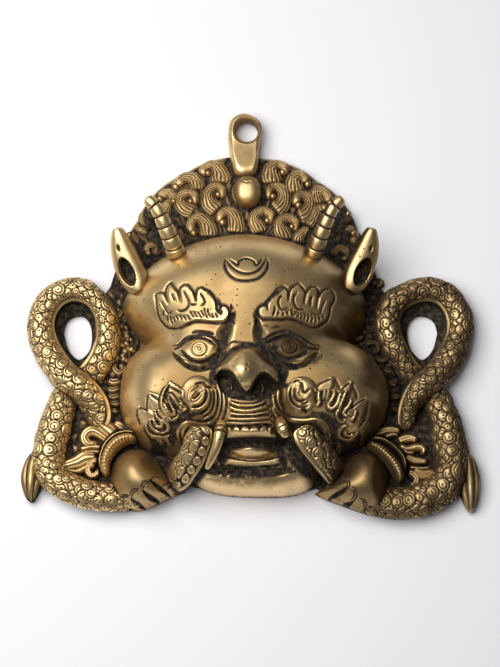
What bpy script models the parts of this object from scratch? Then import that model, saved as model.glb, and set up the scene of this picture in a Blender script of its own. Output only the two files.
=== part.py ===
"""A kirtimukha wall mask, cast in brass as one piece: a horned, eared lion face with a crest of curled hair and a
hanging ring, and two serpents that its hands feed into its mouth.

It lies on its flat back, face up: +X to the right of the face, +Y towards the crest, +Z out of the face.
Sizes are in metres.
"""

import bpy
import numpy as np

# Casting
HEAD_WALL = 0.0045
LEAST_WALL = 0.0028
WEB_THICKNESS = 0.0045
SKIN_VOXEL = 0.0011
FACE_COUNT = 8500
BELOW_BACK = 0.0040

# Head: the skull, the face, the cheeks, the muzzle and the jaw are rounded boxes that melt into one another.
# Each is (middle across, middle up, half width, half length, foot, height above the foot, corner, crown).
SKULL = (0.000, 0.0040, 0.0690, 0.0425, 0.000, 0.0520, 2.15, 2.2)
FACE = (0.000, -0.0320, 0.0530, 0.0440, 0.000, 0.0495, 2.2, 2.6)
CHEEK = (0.0405, -0.0465, 0.0345, 0.0325, 0.003, 0.0455, 2.1, 2.3)
MUZZLE = (0.000, -0.0570, 0.0235, 0.0300, 0.000, 0.0520, 2.2, 2.8)
JAW = (0.000, -0.0765, 0.0390, 0.0250, 0.000, 0.0350, 3.0, 3.0)
HEAD_MIDDLE = (0.000, -0.028)
HEAD_MELT = 0.0050
HEAD_REACH = 0.12

# Nose: its body, ridge, tip and two wings, as (middle across, middle up, half width, half length, foot, height)
NOSE_BODY = (0.000, -0.0385, 0.0165, 0.0160, 0.0440, 0.0170)
NOSE_RIDGE = (0.000, -0.0370, 0.0115, 0.0160, 0.0480, 0.0170)
NOSE_TIP = (0.000, -0.0440, 0.0092, 0.0082, 0.0540, 0.0138)
NOSE_WING = (0.0125, -0.0430, 0.0082, 0.0084, 0.0450, 0.0165)
NOSE_MELT = 0.0013
NOSTRIL = (0.0108, -0.0495)
NOSTRIL_RADIUS = 0.0050
NOSTRIL_DEPTH = 0.0085

# Eyes and brows
EYE = (0.0243, -0.0273)
EYE_HALF_WIDTH = 0.0125
EYE_HALF_HEIGHT = 0.0064
EYE_RISE = 0.0034
LID_RISE = 0.0012
EYE_GROOVE_DEPTH = 0.0022
IRIS_RISE = 0.0009
# The groove and the lid round an eye, as (place, half width) in shares of the eye's own size
EYE_GROOVE = (1.05, 0.25)
EYE_LID = (1.25, 0.30)
IRIS_RADIUS = 0.0042
SOCKET = (0.0105, -0.0215)
SOCKET_RADIUS = 0.0075
SOCKET_DEPTH = 0.0060
BROW_RISE = 0.0022
BROW_LOBES = (
    ((0.0160, -0.0100), (0.0140, -0.0010)),
    ((0.0230, -0.0110), (0.0220, 0.0050)),
    ((0.0300, -0.0110), (0.0305, 0.0070)),
    ((0.0370, -0.0100), (0.0390, 0.0065)),
    ((0.0430, -0.0080), (0.0475, 0.0015)),
)
BROW_LOBE_HALF_WIDTH = 0.0042
BROW_ROOT = (0.0085, -0.0085)

# Mouth, from the upper lip down to the chin: (place along Y, half width, half thickness, rise)
LIP_RINGS = ((-0.0545, 0.0115, 0.0016, 0.0024), (-0.0585, 0.0118, 0.0016, 0.0024),
             (-0.0625, 0.0122, 0.0016, 0.0024), (-0.0663, 0.0130, 0.0016, 0.0024))
TEETH = (-0.0713, 0.0135, 0.0024, 0.0034)
MOUTH_GAP = (-0.0760, 0.0200, 0.0026, -0.0060)
TONGUE = (-0.0812, 0.0130, 0.0036, 0.0040)
LOWER_LIP = (-0.0874, 0.0175, 0.0020, 0.0046)
CHIN_GROOVE = (-0.0916, 0.0250, 0.0018, -0.0030)
MOUTH_BOW = 0.0020
FANG_LENGTH = 0.0105
FANG_RADIUS = 0.0036
FANG_ROOT = (0.0168, -0.0690, 0.0490)
FANG_LEAN = (0.0010, -0.0030)

# Moustache and the flames on the cheeks
MOUSTACHE = ((0.0150, -0.0480), (0.0140, -0.0565), (0.0160, -0.0630), (0.0220, -0.0675),
             (0.0300, -0.0685), (0.0370, -0.0705), (0.0400, -0.0765))
MOUSTACHE_HALF_WIDTH = 0.0019
MOUSTACHE_RISE = 0.0044
WHISKER_CURL = (0.0275, -0.0535)
WHISKER_CURL_RADIUS = (0.0085, 0.0100)
WHISKER_CURL_RISE = 0.0032
CHEEK_FLAMES = (
    ((0.0350, -0.0580), (0.0375, -0.0510), (0.0430, -0.0450)),
    ((0.0410, -0.0650), (0.0460, -0.0570), (0.0540, -0.0490)),
    ((0.0470, -0.0740), (0.0530, -0.0660), (0.0610, -0.0575)),
)
FLAME_HALF_WIDTH = 0.0052
FLAME_RISE = 0.0020

# Crest
CREST_MIDDLE = 0.0238
CREST_RADIUS = 0.0690
CREST_LOBE = 0.0016
CREST_LOBES = 11
CREST_THICKNESS = 0.0060
CREST_SWELL = 0.0075
CREST_DROP = 0.0280
CREST_CHORD = 0.0500
CREST_SPAN = (-12.0, 192.0)
# The locks of hair: (across, up, height, which way the tip turns, lean in degrees)
LOCKS = (
    (0.0084, 0.0530, 0.0170, 1, 0), (0.0245, 0.0490, 0.0160, 1, -16), (0.0385, 0.0420, 0.0140, 1, -34),
    (0.0180, 0.0670, 0.0180, -1, -14), (0.0320, 0.0620, 0.0165, -1, -30), (0.0460, 0.0545, 0.0150, -1, -48),
    (0.0150, 0.0825, 0.0165, 1, -8), (0.0295, 0.0765, 0.0160, 1, -24), (0.0425, 0.0680, 0.0155, 1, -42),
    (0.0540, 0.0560, 0.0145, 1, -58), (0.0560, 0.0400, 0.0120, 1, -66),
)
LOCK_DEPTH = 0.0048
LOCK_SINK = 0.0008

# Jewel, hanging ring and its stalk
JEWEL = (0.0000, 0.0705, 0.0071, 0.0092, 0.0205)
RING_HOLE = (0.0000, 0.1080)
RING_HOLE_RADIUS = 0.0063
RING_RADIUS = 0.0099
RING_HIGH = 0.0010
RING_BOTTOM = 0.0035
RING_DEPTH = 0.0095
STALK_FOOT = 0.0820
STALK_HALF_WIDTH = 0.0066
STALK_TOP = 0.0190
STALK_MIDDLE = 0.0080
JEWEL_MIDDLE = 0.0060

# Horns and ears
HORN_LINE = ((0.0375, 0.0290, 0.0300), (0.0400, 0.0350, 0.0360), (0.0440, 0.0440, 0.0415), (0.0485, 0.0525, 0.0450),
             (0.0540, 0.0580, 0.0460))
HORN_ROOT_RADIUS = 0.0056
HORN_TIP_RADIUS = 0.0032
HORN_RINGS = 6
EAR_LINE = ((0.0585, 0.0110, 0.0160), (0.0630, 0.0200, 0.0240), (0.0672, 0.0310, 0.0310), (0.0702, 0.0430, 0.0370))
EAR_HALF_WIDTH = 0.0088
EAR_HALF_DEPTH = 0.0055
EAR_HOLLOW = 0.0085

# Serpents, from the hand round to the tip of the tail: (across, up, middle height, half width, half depth)
SERPENT = (
    (0.0600, -0.1010, 0.0060, 0.0072, 0.0075), (0.0740, -0.1035, 0.0060, 0.0080, 0.0090),
    (0.0820, -0.1038, 0.0060, 0.0080, 0.0095), (0.0900, -0.1025, 0.0060, 0.0082, 0.0098),
    (0.0975, -0.0998, 0.0060, 0.0084, 0.0100), (0.1045, -0.0960, 0.0060, 0.0085, 0.0100),
    (0.1090, -0.0908, 0.0060, 0.0085, 0.0100), (0.1112, -0.0850, 0.0060, 0.0086, 0.0100),
    (0.1113, -0.0780, 0.0060, 0.0086, 0.0100), (0.1101, -0.0710, 0.0060, 0.0085, 0.0100),
    (0.1084, -0.0640, 0.0060, 0.0084, 0.0100), (0.1064, -0.0560, 0.0060, 0.0080, 0.0098),
    (0.1030, -0.0472, 0.0050, 0.0076, 0.0090), (0.0965, -0.0385, 0.0040, 0.0072, 0.0070),
    (0.0880, -0.0305, 0.0045, 0.0068, 0.0080), (0.0820, -0.0210, 0.0055, 0.0066, 0.0092),
    (0.0786, -0.0100, 0.0060, 0.0064, 0.0098), (0.0800, 0.0020, 0.0060, 0.0064, 0.0100),
    (0.0875, 0.0110, 0.0060, 0.0064, 0.0100), (0.0990, 0.0147, 0.0060, 0.0066, 0.0100),
    (0.1095, 0.0110, 0.0060, 0.0069, 0.0100), (0.1160, 0.0010, 0.0060, 0.0071, 0.0100),
    (0.1165, -0.0110, 0.0062, 0.0072, 0.0102), (0.1115, -0.0235, 0.0070, 0.0074, 0.0110),
    (0.1034, -0.0343, 0.0085, 0.0075, 0.0115), (0.0950, -0.0415, 0.0090, 0.0068, 0.0110),
    (0.0885, -0.0485, 0.0080, 0.0056, 0.0095), (0.0845, -0.0560, 0.0060, 0.0042, 0.0075),
    (0.0830, -0.0620, 0.0050, 0.0026, 0.0050),
)
# The head end of each serpent, from the fist up into the mouth
SERPENT_NECK = (
    (0.0460, -0.0985, 0.0200, 0.0074, 0.0090), (0.0400, -0.0935, 0.0270, 0.0078, 0.0092),
    (0.0350, -0.0870, 0.0330, 0.0080, 0.0090), (0.0305, -0.0800, 0.0370, 0.0080, 0.0086),
    (0.0275, -0.0735, 0.0390, 0.0076, 0.0080), (0.0265, -0.0680, 0.0400, 0.0056, 0.0060),
)
FIN = ((0.1190, -0.0780, 0.0050, 0.0024, 0.0050), (0.1218, -0.0850, 0.0050, 0.0050, 0.0070),
       (0.1220, -0.0930, 0.0045, 0.0050, 0.0070), (0.1215, -0.1005, 0.0040, 0.0036, 0.0060),
       (0.1210, -0.1055, 0.0035, 0.0014, 0.0040))

# Hands: the back of the hand, the fingers, the bangle and the leaves of the sleeve
HAND = (0.0620, -0.0905, 0.0120, 0.0150, 0.0155)
HAND_TOP = 0.0330
KNUCKLES = ((0.0690, -0.1000), (0.0640, -0.0980), (0.0585, -0.0945), (0.0530, -0.0900))
FINGERTIPS = ((0.0650, -0.1064), (0.0565, -0.1042), (0.0485, -0.1006), (0.0415, -0.0960))
FINGER_RADIUS = 0.0048
BANGLE_RADIUS = 0.0185
BANGLE_SPAN = (32.0, 150.0)
BANGLE_HALF_WIDTH = 0.0022
BANGLE_MIDDLE = (0.0010, 0.0160)
BANGLE_DEPTH = (0.0060, 0.0030)
FINGER_DROPS = (0.0090, 0.0120)
FINGER_END = 0.0060
SLEEVE_LEAVES = (
    ((0.0640, -0.0680), (0.0800, -0.0630), 0.0026), ((0.0740, -0.0725), (0.0890, -0.0655), 0.0040),
    ((0.0790, -0.0770), (0.0960, -0.0768), 0.0030), ((0.0820, -0.0820), (0.1040, -0.0890), 0.0042),
    ((0.0820, -0.0870), (0.0895, -0.0940), 0.0030),
)
LEAF_TOP = 0.0125

# Web: the thin plate behind the serpents and the head, as half of its outline, and the hole in each coil
WEB_OUTLINE = ((0.0000, 0.0600), (0.0640, 0.0490), (0.0700, 0.0330), (0.0730, 0.0210), (0.0860, 0.0190),
               (0.1000, 0.0180), (0.1130, 0.0130), (0.1200, 0.0000), (0.1190, -0.0160), (0.1130, -0.0300),
               (0.1060, -0.0430), (0.1100, -0.0560), (0.1160, -0.0800), (0.1130, -0.0950), (0.0980, -0.1060),
               (0.0780, -0.1080), (0.0650, -0.1075), (0.0550, -0.1055), (0.0450, -0.1010), (0.0350, -0.0960),
               (0.0000, -0.0960))
# The web is three plates that overlap: one below this place, one above it, and one round the coil's hole
WEB_SPLIT = -0.0395
UPPER_WEB = ((0.0000, 0.0600), (0.0640, 0.0490), (0.0720, 0.0300), (0.0760, 0.0180), (0.0800, 0.0120),
             (0.0795, -0.0100), (0.0810, -0.0280), (0.0880, -0.0400), (0.0000, -0.0400))
COIL_PLATE_WIDTH = 0.0145
COIL_HOLE = ((0.1065, -0.0080), (0.1045, -0.0010), (0.0995, 0.0025), (0.0930, 0.0025), (0.0880, -0.0020),
             (0.0865, -0.0095), (0.0880, -0.0190), (0.0925, -0.0250), (0.0975, -0.0265), (0.1035, -0.0200))

# The hand-modelled lean: how far each height up the face is shifted across, as (up, shift), for the features in
# the middle and for the outline of the head. The left coil also hangs lower.
FEATURE_SHIFT = ((-0.098, 0.0022), (-0.070, 0.0000), (-0.045, -0.0024), (0.045, -0.0031))
OUTLINE_SHIFT = ((-0.100, 0.0000), (-0.075, 0.0008), (-0.058, 0.0022), (-0.040, 0.0022), (-0.021, 0.0000),
                 (0.002, -0.0031), (0.045, -0.0033))
COIL_SAG = 0.0028
# The sizes above are from the middle of the mask's skull. This is the middle of its outline, which is the origin.
OUTLINE_MIDDLE = (-0.0001, 0.0024)


def smooth_step(values):
    """0 below 0, 1 above 1, and an S-curve between."""
    t = np.clip(values, 0.0, 1.0)
    return t * t * (3.0 - 2.0 * t)


def melt(heights, width):
    """The largest of several heights, with the creases between them rounded over about this width."""
    stack = np.stack(heights)
    top = stack.max(axis=0)
    return top + width * np.log(np.exp((stack - top) / width).sum(axis=0))


def rounded_box(u, y, form, grow=0.0):
    """Height of a rounded box over the plan, falling away outside it. grow moves all its sides out."""
    across, up, half_width, half_length, foot, height, corner, crown = form
    out = np.abs((u - across) / (half_width + grow)) ** corner + np.abs((y - up) / (half_length + grow)) ** corner
    out = out ** (1.0 / corner)
    inside = (height + grow) * np.clip(1.0 - out ** crown, 0.0, 1.0) ** (1.0 / crown)
    return foot + np.where(out < 1.0, inside, (1.0 - out) * height)


def bump(distance, width):
    """1 at no distance, falling smoothly to 0 at this width."""
    return np.clip(1.0 - (distance / width) ** 2, 0.0, 1.0) ** 2


def distance_to_line(u, y, line):
    """Distance over the plan to a line of points, and the share of the line's length at the nearest place."""
    line = np.asarray(line, float)
    steps = np.linalg.norm(np.diff(line, axis=0), axis=1)
    begins = np.concatenate(([0.0], np.cumsum(steps)))
    nearest = np.full(np.shape(u), np.inf)
    share = np.zeros(np.shape(u))
    for start, end, length, begin in zip(line[:-1], line[1:], steps, begins):
        along = ((u - start[0]) * (end[0] - start[0]) + (y - start[1]) * (end[1] - start[1])) / length ** 2
        along = np.clip(along, 0.0, 1.0)
        away = np.hypot(u - start[0] - along * (end[0] - start[0]), y - start[1] - along * (end[1] - start[1]))
        closer = away < nearest
        nearest = np.where(closer, away, nearest)
        share = np.where(closer, (begin + along * length) / begins[-1], share)
    return nearest, share


def leaf(u, y, line, half_width):
    """1 inside a leaf drawn along a line, pointed at its far end and with soft edges."""
    away, share = distance_to_line(u, y, line)
    reach = half_width * np.sqrt(np.clip(1.0 - share ** 3, 0.02, 1.0))
    return smooth_step((reach - away) / (0.35 * half_width) + 0.5)


def band(u, y, form):
    """The rise of one bar of the mouth, which bows down in the middle."""
    place, half_width, half_thickness, rise = form
    middle = place - MOUTH_BOW * (1.0 - np.clip(u / half_width, 0.0, 1.0) ** 2) + MOUTH_BOW
    across = smooth_step((half_width - u) / 0.002 + 0.5)
    return rise * np.sqrt(np.clip(1.0 - ((y - middle) / half_thickness) ** 2, 0.0, 1.0)) * across


def smooth_head(u, y, grow=0.0):
    """Height of the head without its features. grow is negative for the hollow inside it."""
    return melt([rounded_box(u, y, form, grow) for form in (SKULL, FACE, CHEEK, MUZZLE, JAW)], HEAD_MELT)


def knob(u, y, form):
    """Height of one ellipsoid of the nose, falling away outside it."""
    across, up, half_width, half_length, foot, height = form
    out = np.hypot((u - across) / half_width, (y - up) / half_length)
    return foot + np.where(out < 1.0, height * np.sqrt(np.clip(1.0 - out ** 2, 0.0, 1.0)), (1.0 - out) * 2.0 * height)


def face_height(x, y):
    """Height of the whole face over the plan: the smooth head, then each feature in turn."""
    u = np.abs(x)
    height = smooth_head(u, y)
    height -= SOCKET_DEPTH * bump(np.hypot(u - SOCKET[0], y - SOCKET[1]), SOCKET_RADIUS)
    eye = np.hypot((u - EYE[0]) / EYE_HALF_WIDTH, (y - EYE[1]) / EYE_HALF_HEIGHT)
    height += EYE_RISE * np.sqrt(np.clip(1.0 - eye ** 2, 0.0, 1.0))
    height += LID_RISE * bump(eye - EYE_LID[0], EYE_LID[1])
    height -= EYE_GROOVE_DEPTH * bump(eye - EYE_GROOVE[0], EYE_GROOVE[1])
    height += IRIS_RISE * bump(np.hypot(u - EYE[0], y - EYE[1]), IRIS_RADIUS)
    lobes = [leaf(u, y, (BROW_ROOT, root, tip), BROW_LOBE_HALF_WIDTH) for root, tip in BROW_LOBES]
    height += BROW_RISE * np.max(lobes, axis=0)
    for form in (*LIP_RINGS, TEETH, MOUTH_GAP, TONGUE, LOWER_LIP, CHIN_GROOVE):
        height += band(u, y, form)
    away, _ = distance_to_line(u, y, MOUSTACHE)
    height += MOUSTACHE_RISE * bump(away, 2.0 * MOUSTACHE_HALF_WIDTH)
    curl = np.hypot((u - WHISKER_CURL[0]) / WHISKER_CURL_RADIUS[0], (y - WHISKER_CURL[1]) / WHISKER_CURL_RADIUS[1])
    height += WHISKER_CURL_RISE * np.sqrt(np.clip(1.0 - curl ** 2, 0.0, 1.0))
    flames = [leaf(u, y, line, FLAME_HALF_WIDTH) for line in CHEEK_FLAMES]
    height += FLAME_RISE * np.max(flames, axis=0)
    height = melt([height, *(knob(u, y, form) for form in (NOSE_BODY, NOSE_RIDGE, NOSE_TIP, NOSE_WING))], NOSE_MELT)
    return height - NOSTRIL_DEPTH * bump(np.hypot(u - NOSTRIL[0], y - NOSTRIL[1]), NOSTRIL_RADIUS)


def outline_reach(height_of, angles, floor, reach=HEAD_REACH, steps=480):
    """How far out from the head's middle the height stays above the floor, for each direction."""
    distances = np.linspace(0.0, reach, steps)
    x = HEAD_MIDDLE[0] + np.outer(np.cos(angles), distances)
    y = HEAD_MIDDLE[1] + np.outer(np.sin(angles), distances)
    above = height_of(x, y) > floor
    return distances[steps - 1 - np.argmax(above[:, ::-1], axis=1)]


def grid_faces(rows, columns):
    """Quads between neighbouring rows of a grid whose columns close on themselves."""
    row, column = np.meshgrid(np.arange(rows - 1), np.arange(columns), indexing="ij")
    right = (column + 1) % columns
    quads = np.stack([row * columns + column, row * columns + right,
                      (row + 1) * columns + right, (row + 1) * columns + column], axis=-1)
    return quads.reshape(-1, 4).tolist()


def closed_rings(rings):
    """A closed body from rings of points, each an equal number round, with a fan over the first and the last."""
    rows, columns, _ = rings.shape
    points = np.concatenate([rings.reshape(-1, 3), rings[0].mean(axis=0)[None], rings[-1].mean(axis=0)[None]])
    faces = grid_faces(rows, columns)
    first, last = rows * columns, rows * columns + 1
    for column in range(columns):
        after = (column + 1) % columns
        faces.append((first, after, column))
        faces.append((last, (rows - 1) * columns + column, (rows - 1) * columns + after))
    return points, faces


def dome(height_of, floor, foot, spokes=160, rings=64):
    """A closed dome under a height function: rings from the rim to the middle, and a flat foot."""
    angles = np.linspace(0.0, 2.0 * np.pi, spokes, endpoint=False)
    reach = outline_reach(height_of, angles, floor)
    share = np.sin(np.linspace(0.5 * np.pi, 0.01, rings))[:, None]
    x = HEAD_MIDDLE[0] + share * reach * np.cos(angles)
    y = HEAD_MIDDLE[1] + share * reach * np.sin(angles)
    z = np.maximum(height_of(x, y), floor)
    under = np.stack([x[0], y[0], np.full(spokes, foot)], axis=-1)[None]
    return closed_rings(np.concatenate([under, np.stack([x, y, z], axis=-1)]))


def smooth_line(points, steps):
    """A smooth curve through the points, by a cubic through each four neighbours, with this many steps a span."""
    points = np.asarray(points, float)
    padded = np.concatenate([2 * points[:1] - points[1:2], points, 2 * points[-1:] - points[-2:-1]])
    t = np.linspace(0.0, 1.0, steps, endpoint=False)[:, None]
    spans = []
    for before, start, end, after in zip(padded[:-3], padded[1:-2], padded[2:-1], padded[3:]):
        slope_in, slope_out = 0.5 * (end - before), 0.5 * (after - start)
        spans.append(start + slope_in * t + (3 * (end - start) - 2 * slope_in - slope_out) * t ** 2
                     + (2 * (start - end) + slope_in + slope_out) * t ** 3)
    return np.concatenate([*spans, points[-1:]])


def strand(forms, steps=4, sides=20, fullness=2.2):
    """A closed strand along (across, up, height, half width, half depth) forms, upright all the way."""
    line = smooth_line(forms, steps)
    centre, half_width, half_depth = line[:, :3], line[:, 3], line[:, 4]
    along = np.gradient(centre, axis=0)
    side = np.stack([along[:, 1], -along[:, 0], np.zeros(len(line))], axis=-1)
    side /= np.linalg.norm(side, axis=1)[:, None]
    turn = np.linspace(0.0, 2.0 * np.pi, sides, endpoint=False)
    round_x = np.sign(np.cos(turn)) * np.abs(np.cos(turn)) ** (2.0 / fullness)
    round_z = np.sign(np.sin(turn)) * np.abs(np.sin(turn)) ** (2.0 / fullness)
    rings = centre[:, None] + (half_width[:, None] * round_x)[..., None] * side[:, None]
    rings[..., 2] += half_depth[:, None] * round_z
    return closed_rings(rings)


def rod(line, radius, sides=14, steps=6):
    """A closed round rod through the points, whose radius is a value or a function of the share of its length."""
    line = smooth_line(line, steps)
    share = np.linspace(0.0, 1.0, len(line))
    radii = radius(share) if callable(radius) else np.full(len(line), radius)
    along = np.gradient(line, axis=0)
    along /= np.linalg.norm(along, axis=1)[:, None]
    side = np.cross(along, (0.0, 0.0, 1.0))
    side /= np.maximum(np.linalg.norm(side, axis=1), 1e-9)[:, None]
    other = np.cross(side, along)
    turn = np.linspace(0.0, 2.0 * np.pi, sides, endpoint=False)
    offset = np.cos(turn)[:, None] * side[:, None] + np.sin(turn)[:, None] * other[:, None]
    return closed_rings(line[:, None] + radii[:, None, None] * offset)


def ball(middle, radii, rows=14, sides=28):
    """A closed ellipsoid."""
    tilt = np.linspace(0.06, np.pi - 0.06, rows)
    turn = np.linspace(0.0, 2.0 * np.pi, sides, endpoint=False)
    ring = np.stack([np.outer(np.sin(tilt), np.cos(turn)), np.outer(np.sin(tilt), np.sin(turn)),
                     np.repeat(np.cos(tilt)[:, None], sides, axis=1)], axis=-1)
    return closed_rings(np.asarray(middle) + ring * np.asarray(radii))


def slab(outline, bottom, top):
    """A closed plate with this outline, given as rings of points round a star-shaped plan."""
    outline = np.asarray(outline, float)
    rings = [np.column_stack([outline, np.full(len(outline), z)]) for z in (bottom, top)]
    return closed_rings(np.stack(rings))


def lock(across, up, height, turn, lean):
    """A lock of hair: it rises from its root, turns over at the top and rolls into a curl."""
    unit = np.array([(0.10, -0.62, 0.30), (0.34, -0.30, 0.27), (0.36, 0.10, 0.23), (0.12, 0.42, 0.20),
                     (-0.22, 0.36, 0.17), (-0.32, 0.06, 0.14), (-0.12, -0.10, 0.12), (0.00, 0.04, 0.10)])
    angle = np.radians(lean)
    x = -unit[:, 0] * turn
    x, y = (across + height * (x * np.cos(angle) - unit[:, 1] * np.sin(angle)),
            up + height * (x * np.sin(angle) + unit[:, 1] * np.cos(angle)))
    depth = LOCK_DEPTH * np.linspace(0.85, 1.05, len(unit))
    forms = np.stack([x, y, crest_height(x, y) - LOCK_SINK, 0.78 * height * unit[:, 2], depth], axis=-1)
    return strand(forms, steps=3, sides=10, fullness=2.0)


def crest_height(x, y):
    """Height of the plate behind the hair, which swells towards the head."""
    out = np.hypot(x, y - CREST_MIDDLE) / CREST_RADIUS
    return CREST_THICKNESS + CREST_SWELL * np.clip(1.0 - out ** 2, 0.0, 1.0)


def crest():
    """The scalloped plate behind the hair, as a fan round the middle of its arc."""
    angles = np.radians(np.linspace(*CREST_SPAN, 140))
    radius = CREST_RADIUS + CREST_LOBE * np.abs(np.sin(0.5 * CREST_LOBES * (angles + 0.2))) ** 0.7
    arc = np.stack([radius * np.cos(angles), CREST_MIDDLE + radius * np.sin(angles)], axis=-1)
    chord = [(-CREST_CHORD, CREST_MIDDLE - CREST_DROP), (CREST_CHORD, CREST_MIDDLE - CREST_DROP)]
    outline = np.concatenate([arc, chord])
    rings = [np.column_stack([outline, np.full(len(outline), -BELOW_BACK)])]
    for share in (1.0, 0.93, 0.82, 0.70, 0.56, 0.40, 0.20):
        plan = (0.0, CREST_MIDDLE) + share * (outline - (0.0, CREST_MIDDLE))
        rings.append(np.column_stack([plan, crest_height(plan[:, 0], plan[:, 1])]))
    return closed_rings(np.stack(rings))


def ring_and_stalk():
    """The stalk that stands on the crest and flattens into the hanging ring."""
    turn = np.linspace(0.0, 2.0 * np.pi, 48, endpoint=False)
    section = np.linspace(0.0, 2.0 * np.pi, 14, endpoint=False)
    wall = RING_RADIUS + RING_HIGH * np.sin(turn)[:, None] - RING_HOLE_RADIUS
    centre_height = RING_BOTTOM + 0.5 * RING_DEPTH
    out = RING_HOLE_RADIUS + 0.5 * wall * (1.0 + np.cos(section))
    rise = np.sign(np.sin(section)) * np.abs(np.sin(section)) ** 0.7
    x = RING_HOLE[0] + np.cos(turn)[:, None] * out
    y = RING_HOLE[1] + np.sin(turn)[:, None] * out
    z = centre_height + 0.5 * RING_DEPTH * np.repeat(rise[None], len(turn), axis=0)
    torus = np.stack([x, y, z], axis=-1)
    rows = torus.shape[0]
    wrap = np.concatenate([torus, torus[:1]])
    faces = grid_faces(rows + 1, len(section))
    last = rows * len(section)
    faces = [tuple(i if i < last else i - last for i in face) for face in faces]
    ring = (wrap.reshape(-1, 3)[:last], faces)
    stem_top = RING_HOLE[1] - RING_HOLE_RADIUS - 0.5 * (RING_RADIUS - RING_HOLE_RADIUS) - RING_HIGH
    length = stem_top - STALK_FOOT
    waist = STALK_FOOT + 0.4 * length
    stem = strand([(0.0, STALK_FOOT, STALK_MIDDLE, STALK_HALF_WIDTH, STALK_TOP - STALK_MIDDLE),
                   (0.0, waist, STALK_MIDDLE, 1.12 * STALK_HALF_WIDTH, STALK_MIDDLE),
                   (0.0, stem_top, centre_height, 0.88 * RING_RADIUS, 0.5 * RING_DEPTH)], steps=5)
    return [ring, stem]


def horn_radius(share):
    """The horn's radius, with a groove between each ring and the next."""
    taper = HORN_ROOT_RADIUS + (HORN_TIP_RADIUS - HORN_ROOT_RADIUS) * share
    return taper * (1.0 - 0.09 * np.abs(np.cos(np.pi * HORN_RINGS * share)) ** 8)


def ear():
    """A pointed ear with a thick rim, hollowed on its front: rings round a line from its root to its tip."""
    line = smooth_line(EAR_LINE, 6)
    share = np.linspace(0.0, 1.0, len(line))[:, None]
    half_width = EAR_HALF_WIDTH * np.sqrt(np.clip(np.sin(np.pi * (0.12 + 0.86 * share ** 0.9)), 0.02, 1.0))
    turn = np.linspace(0.0, 2.0 * np.pi, 28, endpoint=False)[None]
    along = np.gradient(line, axis=0)
    side = np.stack([along[:, 1], -along[:, 0], np.zeros(len(line))], axis=-1)
    side /= np.linalg.norm(side, axis=1)[:, None]
    face = np.cross(side, along)
    face /= np.linalg.norm(face, axis=1)[:, None]
    front = np.clip(np.sin(turn), 0.0, 1.0)
    hollow = EAR_HOLLOW * front ** 3 * np.sin(np.pi * np.clip(1.25 * share, 0.0, 1.0))
    across = half_width * np.cos(turn)
    deep = EAR_HALF_DEPTH * np.sqrt(half_width / EAR_HALF_WIDTH) * np.sin(turn) - hollow
    return closed_rings(line[:, None] + across[..., None] * side[:, None] + deep[..., None] * face[:, None])


def finger(knuckle, tip):
    """One finger, bent over the serpent from the knuckle to the floor beyond it."""
    middle = 0.45 * np.asarray(knuckle) + 0.55 * np.asarray(tip)
    line = [(*knuckle, HAND_TOP - FINGER_DROPS[0]), (*middle, HAND_TOP - FINGER_DROPS[1]), (*tip, FINGER_END)]
    return rod(line, FINGER_RADIUS)


def bangle():
    """The crescent bangle round the wrist, thickest at its middle."""
    turn = np.radians(np.linspace(*BANGLE_SPAN, 15))
    swell = np.sin(np.linspace(0.12, np.pi - 0.12, len(turn)))
    across = HAND[0] + BANGLE_MIDDLE[0] + BANGLE_RADIUS * np.cos(turn)
    half_width = BANGLE_HALF_WIDTH * (0.36 + swell)
    half_depth = BANGLE_DEPTH[0] + BANGLE_DEPTH[1] * swell
    forms = np.stack([across, HAND[1] + BANGLE_RADIUS * np.sin(turn), np.full(len(turn), BANGLE_MIDDLE[1]),
                      half_width, half_depth], axis=-1)
    return strand(forms, steps=2, sides=12)


def sleeve_leaf(root, tip, half_width):
    """One leaf of the sleeve, swelling from its root and pointed at its tip."""
    root, tip = np.asarray(root), np.asarray(tip)
    share = np.array([0.0, 0.35, 0.7, 1.0])
    width = half_width * np.array([0.6, 1.0, 0.85, 0.2])
    plan = root + share[:, None] * (tip - root)
    forms = np.column_stack([plan, np.full(4, WEB_THICKNESS), width, np.full(4, LEAF_TOP - WEB_THICKNESS)])
    return strand(forms, steps=3, sides=12)


def web():
    """Half of the thin plate, as a band between its outline and the coil's hole, and an inner plate to the middle."""
    outline = smooth_line(WEB_OUTLINE, 3)
    hole = smooth_line([*COIL_HOLE, COIL_HOLE[0]], 4)[:-1]
    middle = hole.mean(axis=0)
    turn = np.linspace(0.0, 2.0 * np.pi, 96, endpoint=False)
    inner = radial_reach(hole, middle, turn)
    rings = []
    outer = inner + COIL_PLATE_WIDTH
    for reach, z in ((inner, -BELOW_BACK), (outer, -BELOW_BACK), (outer, WEB_THICKNESS), (inner, WEB_THICKNESS)):
        rings.append(np.stack([middle[0] + reach * np.cos(turn), middle[1] + reach * np.sin(turn),
                               np.full(len(turn), z)], axis=-1))
    loop = np.stack([*rings, rings[0]])
    count = len(turn)
    faces = grid_faces(5, count)
    last = 4 * count
    faces = [tuple(i if i < last else i - last for i in face) for face in faces]
    coil_plate = (loop.reshape(-1, 3)[:last], faces)
    lower = outline[outline[:, 1] < WEB_SPLIT]
    lower_plate = slab(np.concatenate([lower, [(0.0, WEB_SPLIT)]]), -BELOW_BACK, WEB_THICKNESS)
    upper_plate = slab(UPPER_WEB, -BELOW_BACK, WEB_THICKNESS)
    return [coil_plate, lower_plate, upper_plate]


def radial_reach(loop, middle, turn):
    """How far a closed loop of points is from its middle, for each direction."""
    offset = loop - middle
    angle = np.arctan2(offset[:, 1], offset[:, 0])
    order = np.argsort(angle)
    return np.interp(turn, angle[order], np.hypot(*offset[order].T), period=2.0 * np.pi)


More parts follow.
